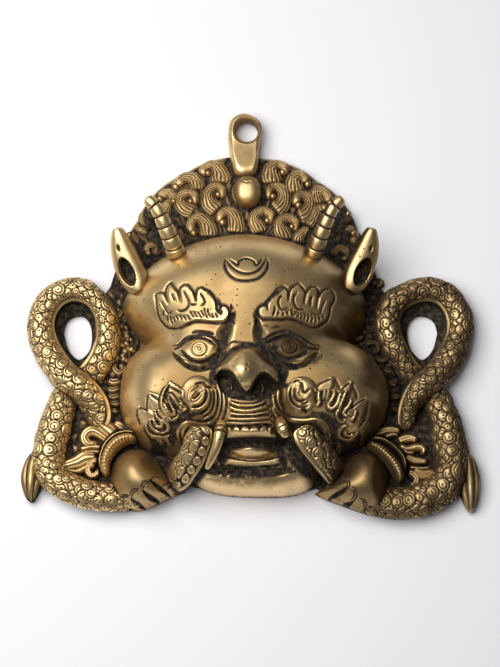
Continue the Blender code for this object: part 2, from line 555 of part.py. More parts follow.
def placed(points):
    """The points with the hand-modelled lean, measured from the middle of the outline."""
    x, y = points[:, 0].copy(), points[:, 1].copy()
    feature = np.interp(y, *np.transpose(FEATURE_SHIFT))
    outline = np.interp(y, *np.transpose(OUTLINE_SHIFT))
    outward = smooth_step((np.abs(x) - 0.028) / 0.026)
    points[:, 0] += (feature + (outline - feature) * outward) * (1.0 - smooth_step((np.abs(x) - 0.076) / 0.022))
    points[:, 1] -= COIL_SAG * np.clip(x / 0.100, -1.0, 1.0) * smooth_step((-0.078 - y) / 0.030)
    points[:, :2] -= OUTLINE_MIDDLE
    return points


def mirrored(form):
    """The same body on the other side of the face."""
    points, faces = form
    return points * (-1.0, 1.0, 1.0), [tuple(reversed(face)) for face in faces]


def half_forms():
    """Every body that the mask has twice, as the one on its left (+X)."""
    forms = [strand(SERPENT), strand(SERPENT_NECK), strand(FIN, steps=5)]
    forms += [ear(), rod(HORN_LINE, horn_radius, steps=10)]
    forms += [lock(*values) for values in LOCKS]
    forms += [finger(knuckle, tip) for knuckle, tip in zip(KNUCKLES, FINGERTIPS)]
    forms += [sleeve_leaf(*values) for values in SLEEVE_LEAVES]
    forms += web()
    forms.append(bangle())
    forms.append(ball(HAND[:3], (HAND[3], HAND[4], HAND_TOP - HAND[2])))
    fang_end = (FANG_ROOT[0] + FANG_LEAN[0], FANG_ROOT[1] - FANG_LENGTH, FANG_ROOT[2] + FANG_LEAN[1])
    forms.append(rod([FANG_ROOT, fang_end], lambda share: FANG_RADIUS * (1.0 - 0.75 * share ** 2)))
    return forms


def middle_forms():
    """The bodies on the middle line."""
    jewel = ball((JEWEL[0], JEWEL[1], JEWEL_MIDDLE), (JEWEL[2], JEWEL[3], JEWEL[4] - JEWEL_MIDDLE))
    return [dome(face_height, 0.0, -BELOW_BACK), crest(), jewel, *ring_and_stalk()]


def hollow_height(x, y):
    """Height of the hollow under the head, one wall inside the smooth head."""
    return np.minimum(smooth_head(np.abs(x), y, -HEAD_WALL), face_height(x, y) - LEAST_WALL)


def new_object(name, forms):
    """One mesh object from several closed bodies."""
    points, faces, count = [], [], 0
    for part_points, part_faces in forms:
        points.append(part_points)
        faces += [tuple(i + count for i in face) for face in part_faces]
        count += len(part_points)
    mesh = bpy.data.meshes.new(name)
    mesh.from_pydata(placed(np.concatenate(points)).tolist(), [], faces)
    made = bpy.data.objects.new(name, mesh)
    bpy.context.scene.collection.objects.link(made)
    return made


def cutter(name, form):
    """A hidden body that a Boolean takes away."""
    made = new_object(name, [form])
    made.hide_render = True
    made.display_type = "WIRE"
    return made


def brass():
    """Aged brass, as the viewport shows it."""
    material = bpy.data.materials.new("aged_brass")
    material.use_nodes = True
    shader = material.node_tree.nodes["Principled BSDF"]
    shader.inputs["Base Color"].default_value = (0.50, 0.34, 0.14, 1.0)
    shader.inputs["Metallic"].default_value = 1.0
    shader.inputs["Roughness"].default_value = 0.35
    return material


def evaluated_faces(made):
    """How many faces the object has with its modifiers so far."""
    graph = bpy.context.evaluated_depsgraph_get()
    return len(made.evaluated_get(graph).data.polygons)


def clear_scene():
    for old in list(bpy.data.objects):
        bpy.data.objects.remove(old)


clear_scene()
halves = half_forms()
mask = new_object("kirtimukha_mask", middle_forms() + halves + [mirrored(form) for form in halves])
mask.data.materials.append(brass())

skin = mask.modifiers.new("one skin", "REMESH")
skin.mode = "VOXEL"
skin.voxel_size = SKIN_VOXEL
thin = mask.modifiers.new("fewer faces", "DECIMATE")
thin.ratio = FACE_COUNT / (2.0 * evaluated_faces(mask))

FLOOR_REACH = 0.5
floor_plan = [(-FLOOR_REACH, -FLOOR_REACH), (FLOOR_REACH, -FLOOR_REACH), (FLOOR_REACH, FLOOR_REACH),
              (-FLOOR_REACH, FLOOR_REACH)]
floor = cutter("floor_cutter", slab(floor_plan, -FLOOR_REACH, 0.0))
hollow = cutter("hollow_cutter", dome(hollow_height, 0.0, -2.0 * BELOW_BACK, spokes=48, rings=14))
for tool in (floor, hollow):
    cut = mask.modifiers.new("cut by " + tool.name, "BOOLEAN")
    cut.operation = "DIFFERENCE"
    cut.object = tool
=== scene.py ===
"""A kirtimukha wall mask, cast in brass as one piece, lying face up on a pale floor.

Sizes are in millimetres, measured from the middle of the mask's skull: +X to the right of the face, +Y
towards the crest, +Z out of the face. Each piece is moved to the shared frame, in metres, as it is made.
"""

import bpy
import numpy as np
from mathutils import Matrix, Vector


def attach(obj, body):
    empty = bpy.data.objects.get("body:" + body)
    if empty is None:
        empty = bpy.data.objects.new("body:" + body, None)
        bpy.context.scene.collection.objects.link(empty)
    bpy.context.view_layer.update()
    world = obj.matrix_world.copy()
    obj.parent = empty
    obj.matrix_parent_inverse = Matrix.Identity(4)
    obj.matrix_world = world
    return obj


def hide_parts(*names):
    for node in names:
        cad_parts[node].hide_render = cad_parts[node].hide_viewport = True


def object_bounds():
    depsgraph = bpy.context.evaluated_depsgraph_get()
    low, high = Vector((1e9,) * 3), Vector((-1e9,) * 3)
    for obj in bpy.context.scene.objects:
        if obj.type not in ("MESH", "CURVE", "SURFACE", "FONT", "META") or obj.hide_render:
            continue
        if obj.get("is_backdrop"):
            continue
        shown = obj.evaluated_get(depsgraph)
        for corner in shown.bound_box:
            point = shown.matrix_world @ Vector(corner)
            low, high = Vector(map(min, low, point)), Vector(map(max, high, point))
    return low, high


# The solid that this model covers
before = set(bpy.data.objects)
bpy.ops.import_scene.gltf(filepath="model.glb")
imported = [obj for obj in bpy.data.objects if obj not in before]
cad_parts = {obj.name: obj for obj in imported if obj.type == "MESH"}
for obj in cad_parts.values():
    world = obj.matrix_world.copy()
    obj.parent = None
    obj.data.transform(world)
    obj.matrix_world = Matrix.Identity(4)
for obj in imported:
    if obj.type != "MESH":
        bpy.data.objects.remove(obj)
solid_low, solid_high = (np.array(corner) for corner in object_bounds())


# Head
# The head is one thin shell of cast brass, hollow behind. Its brows, eyes, whiskers and mouth were carved
# in the wax, and the lines were cut deeper in the metal afterwards.
OUTLINE_MIDDLE = (-0.1, 2.4)
FEATURE_SHIFT = ((-98, 2.2), (-70, 0.0), (-45, -2.4), (45, -3.1))
OUTLINE_SHIFT = ((-100, 0.0), (-75, 0.8), (-58, 2.2), (-40, 2.2), (-21, 0.0), (2, -3.1), (45, -3.3))
COIL_SAG = 2.8
HEAD_MIDDLE = (0.0, -28.0)
HEAD_REACH = 120.0
HEAD_MELT = 5.0
HEAD_WALL = 4.5
LEAST_WALL = 2.8
HEAD_STEPS = 300
HOLLOW_SKIP = 4
HEAD_SPOKES = 720
HOLLOW_RINGS = 12
HEAD_RIM = 0.3

# Each is (middle across, middle up, half width, half length, foot, height above the foot, corner, crown).
SKULL = (0, 4.0, 69.0, 42.5, 0, 52.0, 1.78, 2.2)
FACE = (0, -32.0, 53.0, 44.0, 0, 49.5, 2.2, 2.6)
CHEEK = (40.5, -46.5, 34.5, 32.5, 3, 45.5, 2.1, 2.3)
MUZZLE = (0, -57.0, 23.5, 30.0, 0, 52.0, 2.2, 2.8)
JAW = (0, -76.5, 39.0, 25.0, 0, 35.0, 3.0, 3.0)
# The nose is a tent: its outline, and the lines of its ridges with the height at each point and the slope
# beside them.
NOSE_OUTLINE = (
    (-19.2, -43.8), (-18.9, -41.3), (-17.9, -39.1), (-10.7, -31.4), (-8.3, -29.5), (-3.5, -27.4),
    (-1, -27.1), (1.3, -27.4), (3.4, -28.4), (14.5, -39.1), (15.6, -41.8), (15.7, -44.4), (14.9, -47.1),
    (9.6, -42.8), (7.4, -42.1), (5.7, -42.7), (4.2, -44.2), (0.2, -50.9), (-1.4, -52.2), (-3, -52.2),
    (-4.9, -50.2), (-9.8, -43.1), (-11.5, -41.4), (-13.1, -40.7), (-14.9, -40.7), (-16.8, -41.6),
    (-18.2, -43),
)
NOSE_RIDGES = (
    (((-2.4, -24.7), (-2.7, -29.8), (-2.9, -35.1), (-3.7, -40.5)), (52.6, 57.5, 62.4, 64.5), 0.68),
    (((-18.4, -42.6), (-14.1, -38.9), (-9.3, -36.3), (-3.5, -35.1)), (55.6, 59.6, 62, 63.2), 0.82),
    (((15, -44.8), (11.4, -40.5), (6.6, -37.8), (1.8, -36), (-3.5, -35.1)), (55, 58.8, 61.2, 62.4, 63.2),
     0.88),
    (((-4.4, -42), (-3.5, -46), (-2.2, -51.6)), (64.5, 62.4, 57.5), 1.15),
)
NOSE_ROUND = 3.0
# The tip: its middle, its radius, how high it stands and how fast it falls beyond its radius
NOSE_TIP = ((-4.0, -42.2), 7.4, 66.2, 9.0)
NOSE_PITS = ((-1.6, -38.9), (-2.0, -41.8))
NOSE_MELT = 2.0
# Above the wings the nose's sides run softly into the face.
NOSE_WINGS = -42.0
NOSE_LEAST_RISE = 1.2
NOSTRIL_DEPTH = 5.0
BLADE_RISE = 3.0

# The places of the features are where they lie on the leaning face, so each side has its own.
EYES = ((-28.5, -27.6), (23.0, -26.9))
EYE_HALF = (12.2, 6.5)
EYE_RISE = 3.0
IRISES = ((-27.5, -27.4), (21.2, -26.2))
IRIS_RADIUS = 4.0
IRIS_RISE = 0.7
PUPIL_RISE = 0.35
# The rings cut round the pupil: the radius, the half width and how deep each is, as a share of the first
IRIS_RINGS = ((4.1, 0.6, 1.0), (2.5, 0.5, 0.8), (1.1, 0.45, 1.0))
IRIS_RING_DEPTH = 0.5
LID_FOLDS = (
    ((-42, -25), (-38.5, -24.3), (-32, -20.4), (-24.6, -20.7), (-20, -22.8)),
    ((-40.6, -29.4), (-33.4, -34.8), (-25.8, -36.4), (-21.6, -34.8), (-18.2, -32.2)),
    ((8, -22.9), (18, -18.8), (22.8, -19.1), (27, -21.3), (31.4, -24.6), (37.6, -25)),
    ((34.2, -29), (26.6, -34.2), (22, -35), (17.4, -34), (13, -30.8), (9.2, -26.4)),
)
EYE_CUTS = (
    ((-41.3, -26.3), (-38.7, -25.7), (-34.3, -22.1), (-28.9, -20.8), (-23.4, -22.3), (-18.6, -25.5)),
    ((-42.5, -23.7), (-39.8, -24.1), (-38.2, -23.2), (-33.8, -20.1), (-24, -19.6), (-16.5, -23.4)),
    ((-31.6, -17.9), (-28.9, -17.4), (-22.4, -18.3), (-19.7, -19.6)),
    ((-37.5, -27), (-34.2, -31.3), (-29.3, -34.2), (-23.4, -33.5), (-18.3, -29.5)),
    ((-42.1, -27.6), (-39.6, -31.4), (-33.6, -37), (-27.1, -38.9), (-19.6, -37), (-16.4, -34.4)),
    ((7.8, -24.2), (16.9, -20.2), (20.2, -19.6), (26.1, -21.5), (31.2, -26.1), (33.7, -26.8), (37.5, -26.2)),
    ((7.2, -21.9), (15.8, -18.1), (22.3, -18.1), (28.9, -21.2), (33.8, -24), (38.1, -23.8)),
    ((30.9, -27.6), (28.7, -29.8), (23.3, -32.5), (16.9, -32.2), (11.5, -27.7), (9.4, -24.3)),
    ((36.9, -27.9), (32.5, -33.9), (24.9, -37), (20.6, -36.5), (16.9, -34.9), (6.1, -26)),
)
SOCKET_DEPTH = 2.6
# The soft hollows between the eyes and the nose, where the crust is thickest, with the half width of each
SOCKETS = (
    (((-10, -9.5), (-14.6, -21.5), (-15.4, -27.5), (-18.6, -33.4), (-25.5, -37.4)), 5.4),
    (((3.8, -12), (4.6, -18.5), (7.4, -24.8), (11.2, -30), (16.6, -35.2), (24.6, -37.4)), 5.2),
)
BROW_RISE = 1.5
BROW_GROOVE = 0.7
BROWS = (
    ((-51.3, 4.8), (-49.4, 5.2), (-47.1, 4.6), (-44.7, -1.2), (-45.8, 6.1), (-44.9, 8.5), (-43.3, 10.3),
     (-42.1, 7.9), (-39.3, 4.2), (-37.9, -1.2), (-38.4, 5.3), (-37.5, 7.2), (-36.1, 8.3), (-34.4, 8.2),
     (-31.4, 4.6), (-29.3, -1.3), (-29.4, 1.8), (-28.8, 4.5), (-27.9, 5.8), (-26.5, 6.2), (-22.7, 3.9),
     (-19.4, -0.6), (-18.6, -3.4), (-18.6, -5.8), (-17.5, -8), (-15.9, -8.9), (-15.1, -7.6), (-16.2, -6.5),
     (-15.9, -4.8), (-14.6, -4.2), (-12.9, -4.9), (-11.7, -6.8), (-11.6, -9.3), (-12.7, -11.6),
     (-14.5, -12.8), (-17.5, -12.9), (-28.9, -11.4), (-31.6, -11.7), (-37.6, -13.7), (-41, -13.7),
     (-44.3, -12.8), (-46.6, -11.1), (-48.8, -8.3), (-50.2, -5), (-50.8, 1.5)),
    ((4.7, -5.8), (4.4, -7.9), (5.3, -10.1), (7.2, -11.2), (16.9, -10.9), (20.2, -10.3), (23.4, -10.5),
     (31.6, -13.4), (33.8, -13.6), (36.6, -12.9), (41.4, -9.2), (42.4, -6.5), (42.8, -3.2), (43.7, -0.6),
     (45.1, 1.3), (45.3, 4.1), (44.4, 6.4), (43, 7.1), (40.5, 6.4), (38.6, 4.5), (37.1, 1.6), (36, -4),
     (36.9, 5.3), (35.4, 7.3), (33.3, 7.1), (31.4, 5.4), (30.4, 3.3), (29.2, -2.2), (29.9, 4.1),
     (26.1, 8.3), (24.1, 7.3), (22.1, 5.6), (21.3, 3.5), (20.5, -1.1), (20.2, 4.2), (18.9, 5.7),
     (17.4, 6.4), (15.6, 5.3), (9.8, -2), (9.2, -4.2), (9.4, -6.5), (8.5, -4.7), (6.6, -4.2)),
)
BROW_CUTS = (
    ((-48.7, 0.7), (-45.4, -5.3), (-44, -6.2), (-42.6, -5.4)), ((-42.9, 4.4), (-42, 2), (-41, 0)),
    ((-36.6, 5.7), (-33.4, -0.9), (-33.9, -4.1), (-35.7, -5.6), (-38.2, -5.8), (-39.9, -4.8)),
    ((-32.4, -2.4), (-31.1, -3.1), (-29.2, -2.8)),
    ((-27, 3.2), (-24.7, -1.2), (-25.1, -2.8), (-26.7, -4.1)), ((-45.4, -7.1), (-44.8, -10.3)),
    ((-43.7, -6.9), (-43.2, -10), (-42.1, -12.1)), ((-40.4, -7.8), (-39.3, -10)),
    ((-38.5, -7.7), (-37.1, -10.3)), ((-36.5, -8.2), (-34.6, -10.8)), ((-32.7, -6.4), (-30.5, -9.8)),
    ((-30.8, -6.5), (-28.6, -9.9)), ((-28.6, -7), (-26.2, -10.4)), ((-34.4, -8.2), (-32.6, -11)),
    ((-41.9, -8.4), (-40.9, -11.4)), ((-47.4, -4.2), (-47.6, -7.4)), ((-18.9, -8), (-17.6, -10.6)),
    ((-26.7, -6.3), (-25.1, -9.6)), ((-24.8, -5.3), (-24.4, -8), (-22.9, -10.8)),
    ((-22.9, -5.7), (-22.9, -7.8), (-21.3, -10.3)), ((-21, -8.2), (-19.7, -10.9)),
    ((17.5, 1.5), (15.9, 0.3), (15.1, -2), (15.6, -4.6), (17.2, -6.1), (20.7, -5.2)),
    ((25.7, 3.7), (24, 2.1), (23.2, -0.5), (24, -3.2), (25.9, -5.3), (29.4, -5.4)),
    ((33.5, 2.4), (32.7, -0.4), (32.6, -3.2)),
    ((33.2, -5.6), (34.3, -6.8), (36.5, -7.1), (38.2, -5.9), (38.8, -3.5), (40.8, 1.2)),
    ((12.9, -4.5), (13.2, -6.1), (12.1, -9.7)), ((19.9, -6.3), (20.1, -9.1)),
    ((22.3, -5.4), (22.6, -7.8), (23.4, -9.4)), ((17.6, -7.6), (17.9, -9.4)), ((15.2, -7.2), (15, -9.2)),
    ((24, -6.6), (24.5, -8.8)), ((37.3, -7.9), (37.5, -10.2)), ((39.4, -6.4), (39.6, -8.6)),
    ((25.3, -6.3), (25.9, -8.4), (25.5, -9.8)), ((27.2, -7), (27.8, -9), (27.5, -10.7)),
    ((29.1, -6.5), (29.6, -8.9), (28.9, -11.1)), ((31.1, -6.9), (31.5, -9.2), (30.9, -11.7)),
    ((33, -7.5), (33.5, -9.6), (33, -12)), ((35.2, -8.1), (35.6, -9.9), (35.2, -11.8)),
)
MOON_CUTS = (
    ((-13.4, 23.3), (-14, 20.1), (-13.4, 16.5), (-11.1, 13), (-7.5, 10.5), (-2.1, 9.8), (3.3, 10.8),
     (6.9, 13.5), (9.2, 17.5), (9.5, 21.1), (8.6, 23.8)),
    ((-13.4, 22.7), (-11.1, 19), (-7.1, 15.4), (-2.1, 13.9), (2.9, 15.1), (6, 18), (8.3, 22.7)),
    ((-11.2, 22.6), (-7.1, 18.9), (-6.2, 21.2), (-3.9, 22.8), (-1.2, 22.9), (1.5, 21.5), (3.3, 18.9),
     (6.5, 23.2)),
)
NOSE_CREASES = (
    ((-14.3, -26), (-9.4, -23.6), (-6.7, -23.8), (3.5, -24.8)),
    ((-11.5, -29.3), (-8.9, -27.6), (-2.4, -26.8), (1.8, -27)),
)
NOSE_LIPS = (
    ((-18.2, -42.6), (-14.9, -40.2), (-11.2, -41), (-6.5, -47.2)),
    ((2.5, -45.8), (5.5, -42.3), (9.8, -42.3), (14.2, -46.2)),
)
NOSTRILS = (
    ((-17.7, -44.3), (-16.9, -42.6), (-15, -41.6), (-12.6, -41.7), (-10.7, -43.1), (-4.6, -52.4),
     (-11.5, -53.6), (-14.7, -51.4), (-16.6, -48.1)),
    ((0, -52.1), (0.5, -49.6), (4, -43.9), (5.8, -42.5), (8.2, -42.6), (10.6, -43.9), (12.8, -45.9),
     (14.1, -48.7), (12.5, -51.9), (8.2, -54.1), (3.4, -54.4)),
)
NOSTRIL_BLADES = (((-11.5, -45.4), (-9.9, -47.6), (-10.5, -49.8)), ((5.6, -45.9), (6.7, -48.7), (6.1, -51.4)))
LIP_RIDGES = (
    ((-10.4, -53.2), (-6.7, -53.7), (-3.5, -53.5)),
    ((-10.9, -56.6), (-6.7, -58.6), (2.4, -58.6), (8.2, -56.5)),
    ((-11.5, -59.2), (-7.7, -61.1), (-2.4, -61.7), (2.9, -61), (9.8, -58.6)),
    ((-11.5, -62.3), (-7.8, -63.4), (2.9, -63.5), (10.4, -61.7)),
    ((-12.6, -65.1), (-6.7, -66.1), (2.9, -65.9), (10.9, -64.5)),
    ((-13.7, -67.2), (-5.6, -68), (2.4, -67.9), (11.4, -66.7)),
)
LIP_CUTS = (
    ((-10.4, -54.8), (-0.3, -55.6), (6.1, -55.1)),
    ((-10.4, -55.8), (-6.7, -57.5), (-2.4, -58), (2.4, -57.4), (6.6, -55.8)),
    ((-11.5, -57.7), (-7.8, -59.5), (-2.4, -60.2), (2.9, -59.5), (9.3, -57.2)),
    ((-11.5, -60.6), (-7.7, -62.4), (-2.4, -63.1), (2.9, -62.5), (10.4, -60.3)),
    ((-11, -63.7), (-6.7, -64.6), (2.9, -64.3), (10.4, -62.9)),
    ((-13.7, -66.3), (-5.6, -67.3), (2.4, -67.2), (11.4, -65.9)),
)
TEETH_TOP = ((-13.1, -68.6), (-5.6, -69.3), (12, -68.4))
TEETH_BAND = ((-12.8, -70.6), (-8.3, -71.6), (-1.4, -72.2), (5, -71.9), (11.5, -70.6))
# Notches between the teeth: the lower end of each, and what they share
TEETH_NOTCHES = ((-9.9, -72.2), (-5.4, -72.4), (-0.3, -72.0), (4.8, -72.4), (9.3, -71.6))
NOTCH_HALF = 1.7
NOTCH_TOP = -69.0
NOTCH_CUT_OFF = -68.6
NOTCH_DEPTH = 1.6
MOUTH_GAP = ((-19, -76.5), (-10, -77.3), (10, -77.2), (19, -76))
TONGUE = (
    (-11.3, -80.6), (-5.6, -79.6), (-0.3, -77.9), (4.5, -80), (12.6, -80.8), (8.3, -83.2), (2.9, -84.6),
    (-1.9, -84.4), (-6.7, -83.2),
)
TONGUE_RISE = 3.6
LOWER_LIP = ((-15.5, -84.6), (-8, -86.6), (8, -86.9), (17.6, -84.4))
CHIN_CUTS = (
    ((-13.8, -83), (-5.7, -85.6), (2.4, -86.2), (9.4, -85.2), (16.4, -83.2)),
    ((-15.4, -87.7), (-5.7, -88.8), (6.2, -88.8), (18.6, -87.3)),
    ((-19.2, -89.7), (-13.8, -89.3), (4, -90.1), (13.2, -89.5)),
    ((-19.8, -91.5), (-8.4, -91.4), (5.1, -92.8), (21.3, -91.8)),
)
CHIN_GROOVE_DEPTH = 2.6
CHIN_GROOVE = ((-24, -89.0), (-10, -90.6), (4, -91.2), (22, -89.6))
WHISKER_RIDGES = (
    ((-18.2, -45.9), (-16.1, -55.6), (-18.5, -64.4), (-25.6, -67), (-34.1, -66.3), (-38.5, -69.9),
     (-39, -72.5), (-38.2, -74.6), (-37.2, -75.6)),
    ((-15, -51.2), (-14.3, -55.8), (-14.5, -59.9), (-15.5, -63.3), (-17.2, -65.7)),
    ((-20.1, -48.4), (-18.9, -51), (-18.6, -56.1), (-19.6, -60.5), (-22.1, -63.2), (-25.6, -64.7)),
    ((-21.2, -49.1), (-20.4, -52.8), (-20.8, -56.9), (-22.8, -60.3), (-25.5, -62.5)),
    ((-23.1, -49.2), (-22.1, -52.9), (-23.3, -56.5), (-26, -59.2), (-29, -60.2), (-32.1, -59.8)),
    ((-27.2, -68.3), (-32.5, -67.7), (-34.7, -68.7), (-36.1, -70.8), (-36.5, -73.4)),
    ((13, -47.9), (12.3, -54.7), (14.5, -60.8), (20.1, -64.1), (28.2, -65.3), (35.7, -64.9), (40.5, -67.5),
     (42.8, -71.9), (42.7, -74.1)),
    ((12, -59.4), (13.6, -62.6), (16, -64.6), (19, -65.7)),
    ((15.3, -48.9), (14.8, -53.7), (15.5, -57.3), (17.4, -60.3)),
    ((35.7, -66.2), (37.8, -67.3), (40.7, -70.9)),
)
WHISKER_CURLS = (
    ((-25.2, -48.2), (-24.6, -50.9), (-25.7, -54), (-27.9, -56.5), (-30.5, -57.4), (-32.5, -56.6),
     (-33.1, -54.1), (-32.4, -51), (-30.5, -48.9), (-28.1, -47.8)),
    ((-26.6, -49.6), (-26.2, -51.4), (-27.8, -54.1), (-30, -55.6), (-31.4, -55), (-31.3, -52.6),
     (-29.4, -50.5)),
    ((21.9, -46.7), (20.5, -49.3), (19.9, -52.4), (20.6, -55.4), (22.6, -58), (25.4, -59.5), (28.6, -60),
     (31.2, -59.2), (33.1, -56.8)),
    ((23.5, -47.2), (22.3, -49.9), (22.3, -53), (23.5, -55.5), (25.9, -57.3), (28.8, -57.5)),
    ((25.9, -47.8), (24.8, -50.2), (25, -52.8), (26.7, -54.5), (29.1, -54.2), (31.5, -52.3)),
)
WHISKER_CUTS = (
    ((-26.8, -51.5), (-28.4, -53.1), (-30, -54.6)),
    ((-23.6, -50.3), (-23.3, -52.9), (-24.7, -56), (-26.8, -58), (-29.5, -58.8), (-31.6, -58.3)),
    ((-21.5, -50.2), (-20.9, -53.9), (-22, -57.6), (-24.4, -60.4), (-27.7, -61.7)),
    ((-19.8, -49.8), (-19.4, -53.9), (-20.1, -58.4), (-22.3, -61.4), (-25.6, -63.2)),
    ((-17.9, -49.2), (-17.4, -55.4), (-18.3, -60.3), (-20.7, -63.4), (-24.5, -65), (-28.8, -65)),
    ((-15.4, -50.7), (-15.2, -56.8), (-15.8, -61.3), (-17.7, -65)),
    ((-29.7, -47), (-27.1, -46.2), (-24.9, -46.3), (-23.1, -48), (-20.6, -48.4)),
    ((22.7, -45.8), (24.3, -44.8), (26.5, -44.7)), ((26.7, -45.6), (27.8, -47.3), (28.6, -51.4), (32, -49)),
    ((24.8, -48.9), (23.8, -51), (23.8, -53.3), (25.1, -55.3), (27.5, -55.8), (29.6, -55.1)),
    ((21.6, -47.7), (21.2, -50.4), (21.5, -53.4), (22.7, -56.2), (25.1, -58.2), (28.1, -58.9),
     (30.4, -58.1)),
    ((32.6, -48.8), (34.2, -51.1), (34.8, -56.5)), ((27.2, -56.8), (29.1, -56.8), (31, -55.9)),
)
CURL_RISE = 3.0
# The balls under the whiskers' curls, as the middle and the half sizes of each
CURL_DOMES = ((-28.4, -51.6, 9.0, 9.6), (27.2, -51.8, 8.6, 9.2))
FLAME_PLATE_HALF = 6.0
FLAME_PLATE_RISE = 1.2
FLAME_PLATES = (
    ((-37, -58.5), (-40, -51.5), (-43, -46.2)), ((-43, -65.5), (-48, -57.5), (-54.5, -50.8)),
    ((-49, -72), (-55, -64.5), (-61, -57.8)), ((36.5, -57.5), (39, -50.5), (43.5, -43.8)),
    ((43, -61), (48, -53), (53.6, -45.6)), ((50, -69), (56, -61.5), (62.6, -53.4)),
)
FLAME_RIDGES = (
    ((-44, -46.7), (-47.1, -52.2), (-47.5, -58.1), (-44.3, -63.8), (-41.9, -64.9), (-39.7, -64.2),
     (-38.4, -62.3)),
    ((-46.6, -56.1), (-43.7, -61.7), (-41.8, -62.7), (-40.8, -61), (-43.3, -55.4), (-44, -53.6),
     (-42.8, -52.5), (-41.5, -53.8), (-38, -58.8), (-36.2, -59.7)),
    ((-51.5, -59.5), (-50.7, -61.9), (-49.2, -64.2), (-45.1, -66.5), (-44.2, -68.6), (-45.3, -70.4),
     (-47.5, -71.1), (-50.2, -70.5), (-52.6, -68.8), (-54.2, -66.4), (-54.1, -64)),
    ((-49.7, -59.8), (-45.9, -64.7), (-43.8, -65.8)),
    ((-52.4, -63.7), (-51.7, -66.1), (-50.1, -68.1), (-48.2, -68), (-47.7, -66.4), (-50.5, -62.4)),
    ((-56.4, -66.1), (-56.3, -68.1), (-52.9, -72), (-46.8, -72.9), (-43.8, -72.2)),
    ((-50.4, -73.1), (-49.2, -74.2), (-48.4, -75.4)), ((-46.3, -73.3), (-45, -74.4), (-44.6, -76)),
    ((-37.7, -56.7), (-34.5, -59.5), (-36.7, -60.8)),
    ((44.3, -49.3), (44.7, -51.9), (43.5, -54.7), (41.9, -56.7), (41.7, -58.8), (43, -59.9), (45.2, -58.6),
     (46.8, -56.2), (47.7, -53), (49.5, -50.3)),
    ((51.4, -50.2), (47.6, -59.7), (46.3, -61.5), (46.6, -63.7), (48, -65.5), (50.5, -66.2)),
    ((53.8, -53.8), (53.3, -56.5), (50.1, -60.9), (50.4, -62.5), (52.3, -63.3)),
    ((56.9, -59.7), (55.6, -63.7), (53.7, -65)),
    ((52.4, -67.4), (50.3, -68), (48.4, -69.4), (47.7, -71.2), (48.6, -72.9), (54, -73.5), (57.7, -70.6),
     (58.1, -68.9)),
    ((52, -69.5), (51, -70.9), (52.2, -72.1), (54.4, -72.1), (56, -70.8)),
    ((36.6, -50.5), (36.3, -53.7), (36.9, -56.2), (35.5, -58.3)),
)
FLAME_CUTS = (
    ((-42.6, -48.3), (-38.3, -50.7), (-36.8, -52.1)), ((-46, -55.6), (-44.4, -58.5), (-42.6, -60.9)),
    ((-43.2, -54.4), (-42.3, -56.7), (-40.5, -59.8)), ((-42.9, -47.4), (-45, -49.7), (-46.3, -52.5)),
    ((-54.8, -51.4), (-55.5, -53.7), (-56, -59.2)), ((-53.4, -51.8), (-51.2, -53.5), (-48.6, -55.3)),
    ((-61.1, -58.3), (-61.5, -60.9), (-59.7, -65.9)), ((-60.5, -57.8), (-58.5, -58.1), (-55.2, -60.1)),
    ((-50.7, -60.3), (-49.4, -62.9), (-47.3, -65)),
    ((-53.1, -64.1), (-52.5, -66.5), (-51, -68.7), (-48.5, -69.5), (-46.6, -68.5), (-46.5, -66.7)),
    ((-55.3, -66.5), (-54.9, -68.8), (-53.1, -70.7), (-47.3, -71.9), (-44.5, -70.6)),
    ((-39.3, -54.9), (-38.3, -57)), ((-37.5, -53.9), (-36.1, -56)), ((-39.7, -58), (-38, -59.7)),
    ((-49.8, -65.3), (-49.2, -66.8)),
    ((35.3, -55.7), (35.7, -48.9), (36.9, -46.7), (39.3, -45.3), (44.2, -43.2)),
    ((45, -43.5), (46.3, -45.6), (48.1, -50.2)), ((38.7, -49.4), (37.9, -55.7), (37.1, -57.7)),
    ((40.9, -49.7), (40.1, -53.1), (39, -56.2)), ((42.8, -48.8), (42.8, -51.5), (41.7, -54.1)),
    ((46, -50.2), (46.1, -53.6), (44.6, -56.7)), ((48.7, -50.6), (50.1, -48.2), (53.3, -45.3)),
    ((53.9, -45.9), (56.8, -50.9), (57.1, -54)),
    ((53.2, -52.8), (52.4, -56), (48.9, -60.7), (49.2, -62.8), (51.1, -64.5)),
    ((51.5, -51.8), (50.4, -55), (49.2, -57.6)), ((53.3, -59.8), (58.2, -55.7), (62.4, -53.3)),
    ((63, -53.9), (63.3, -57), (62, -63), (58.6, -67.5)), ((51.7, -60.9), (51.5, -62.2)),
    ((58, -60.1), (57.5, -62.6), (55.6, -64.9)), ((49.6, -70.9), (50.6, -72.8), (53.9, -72.7)),
)
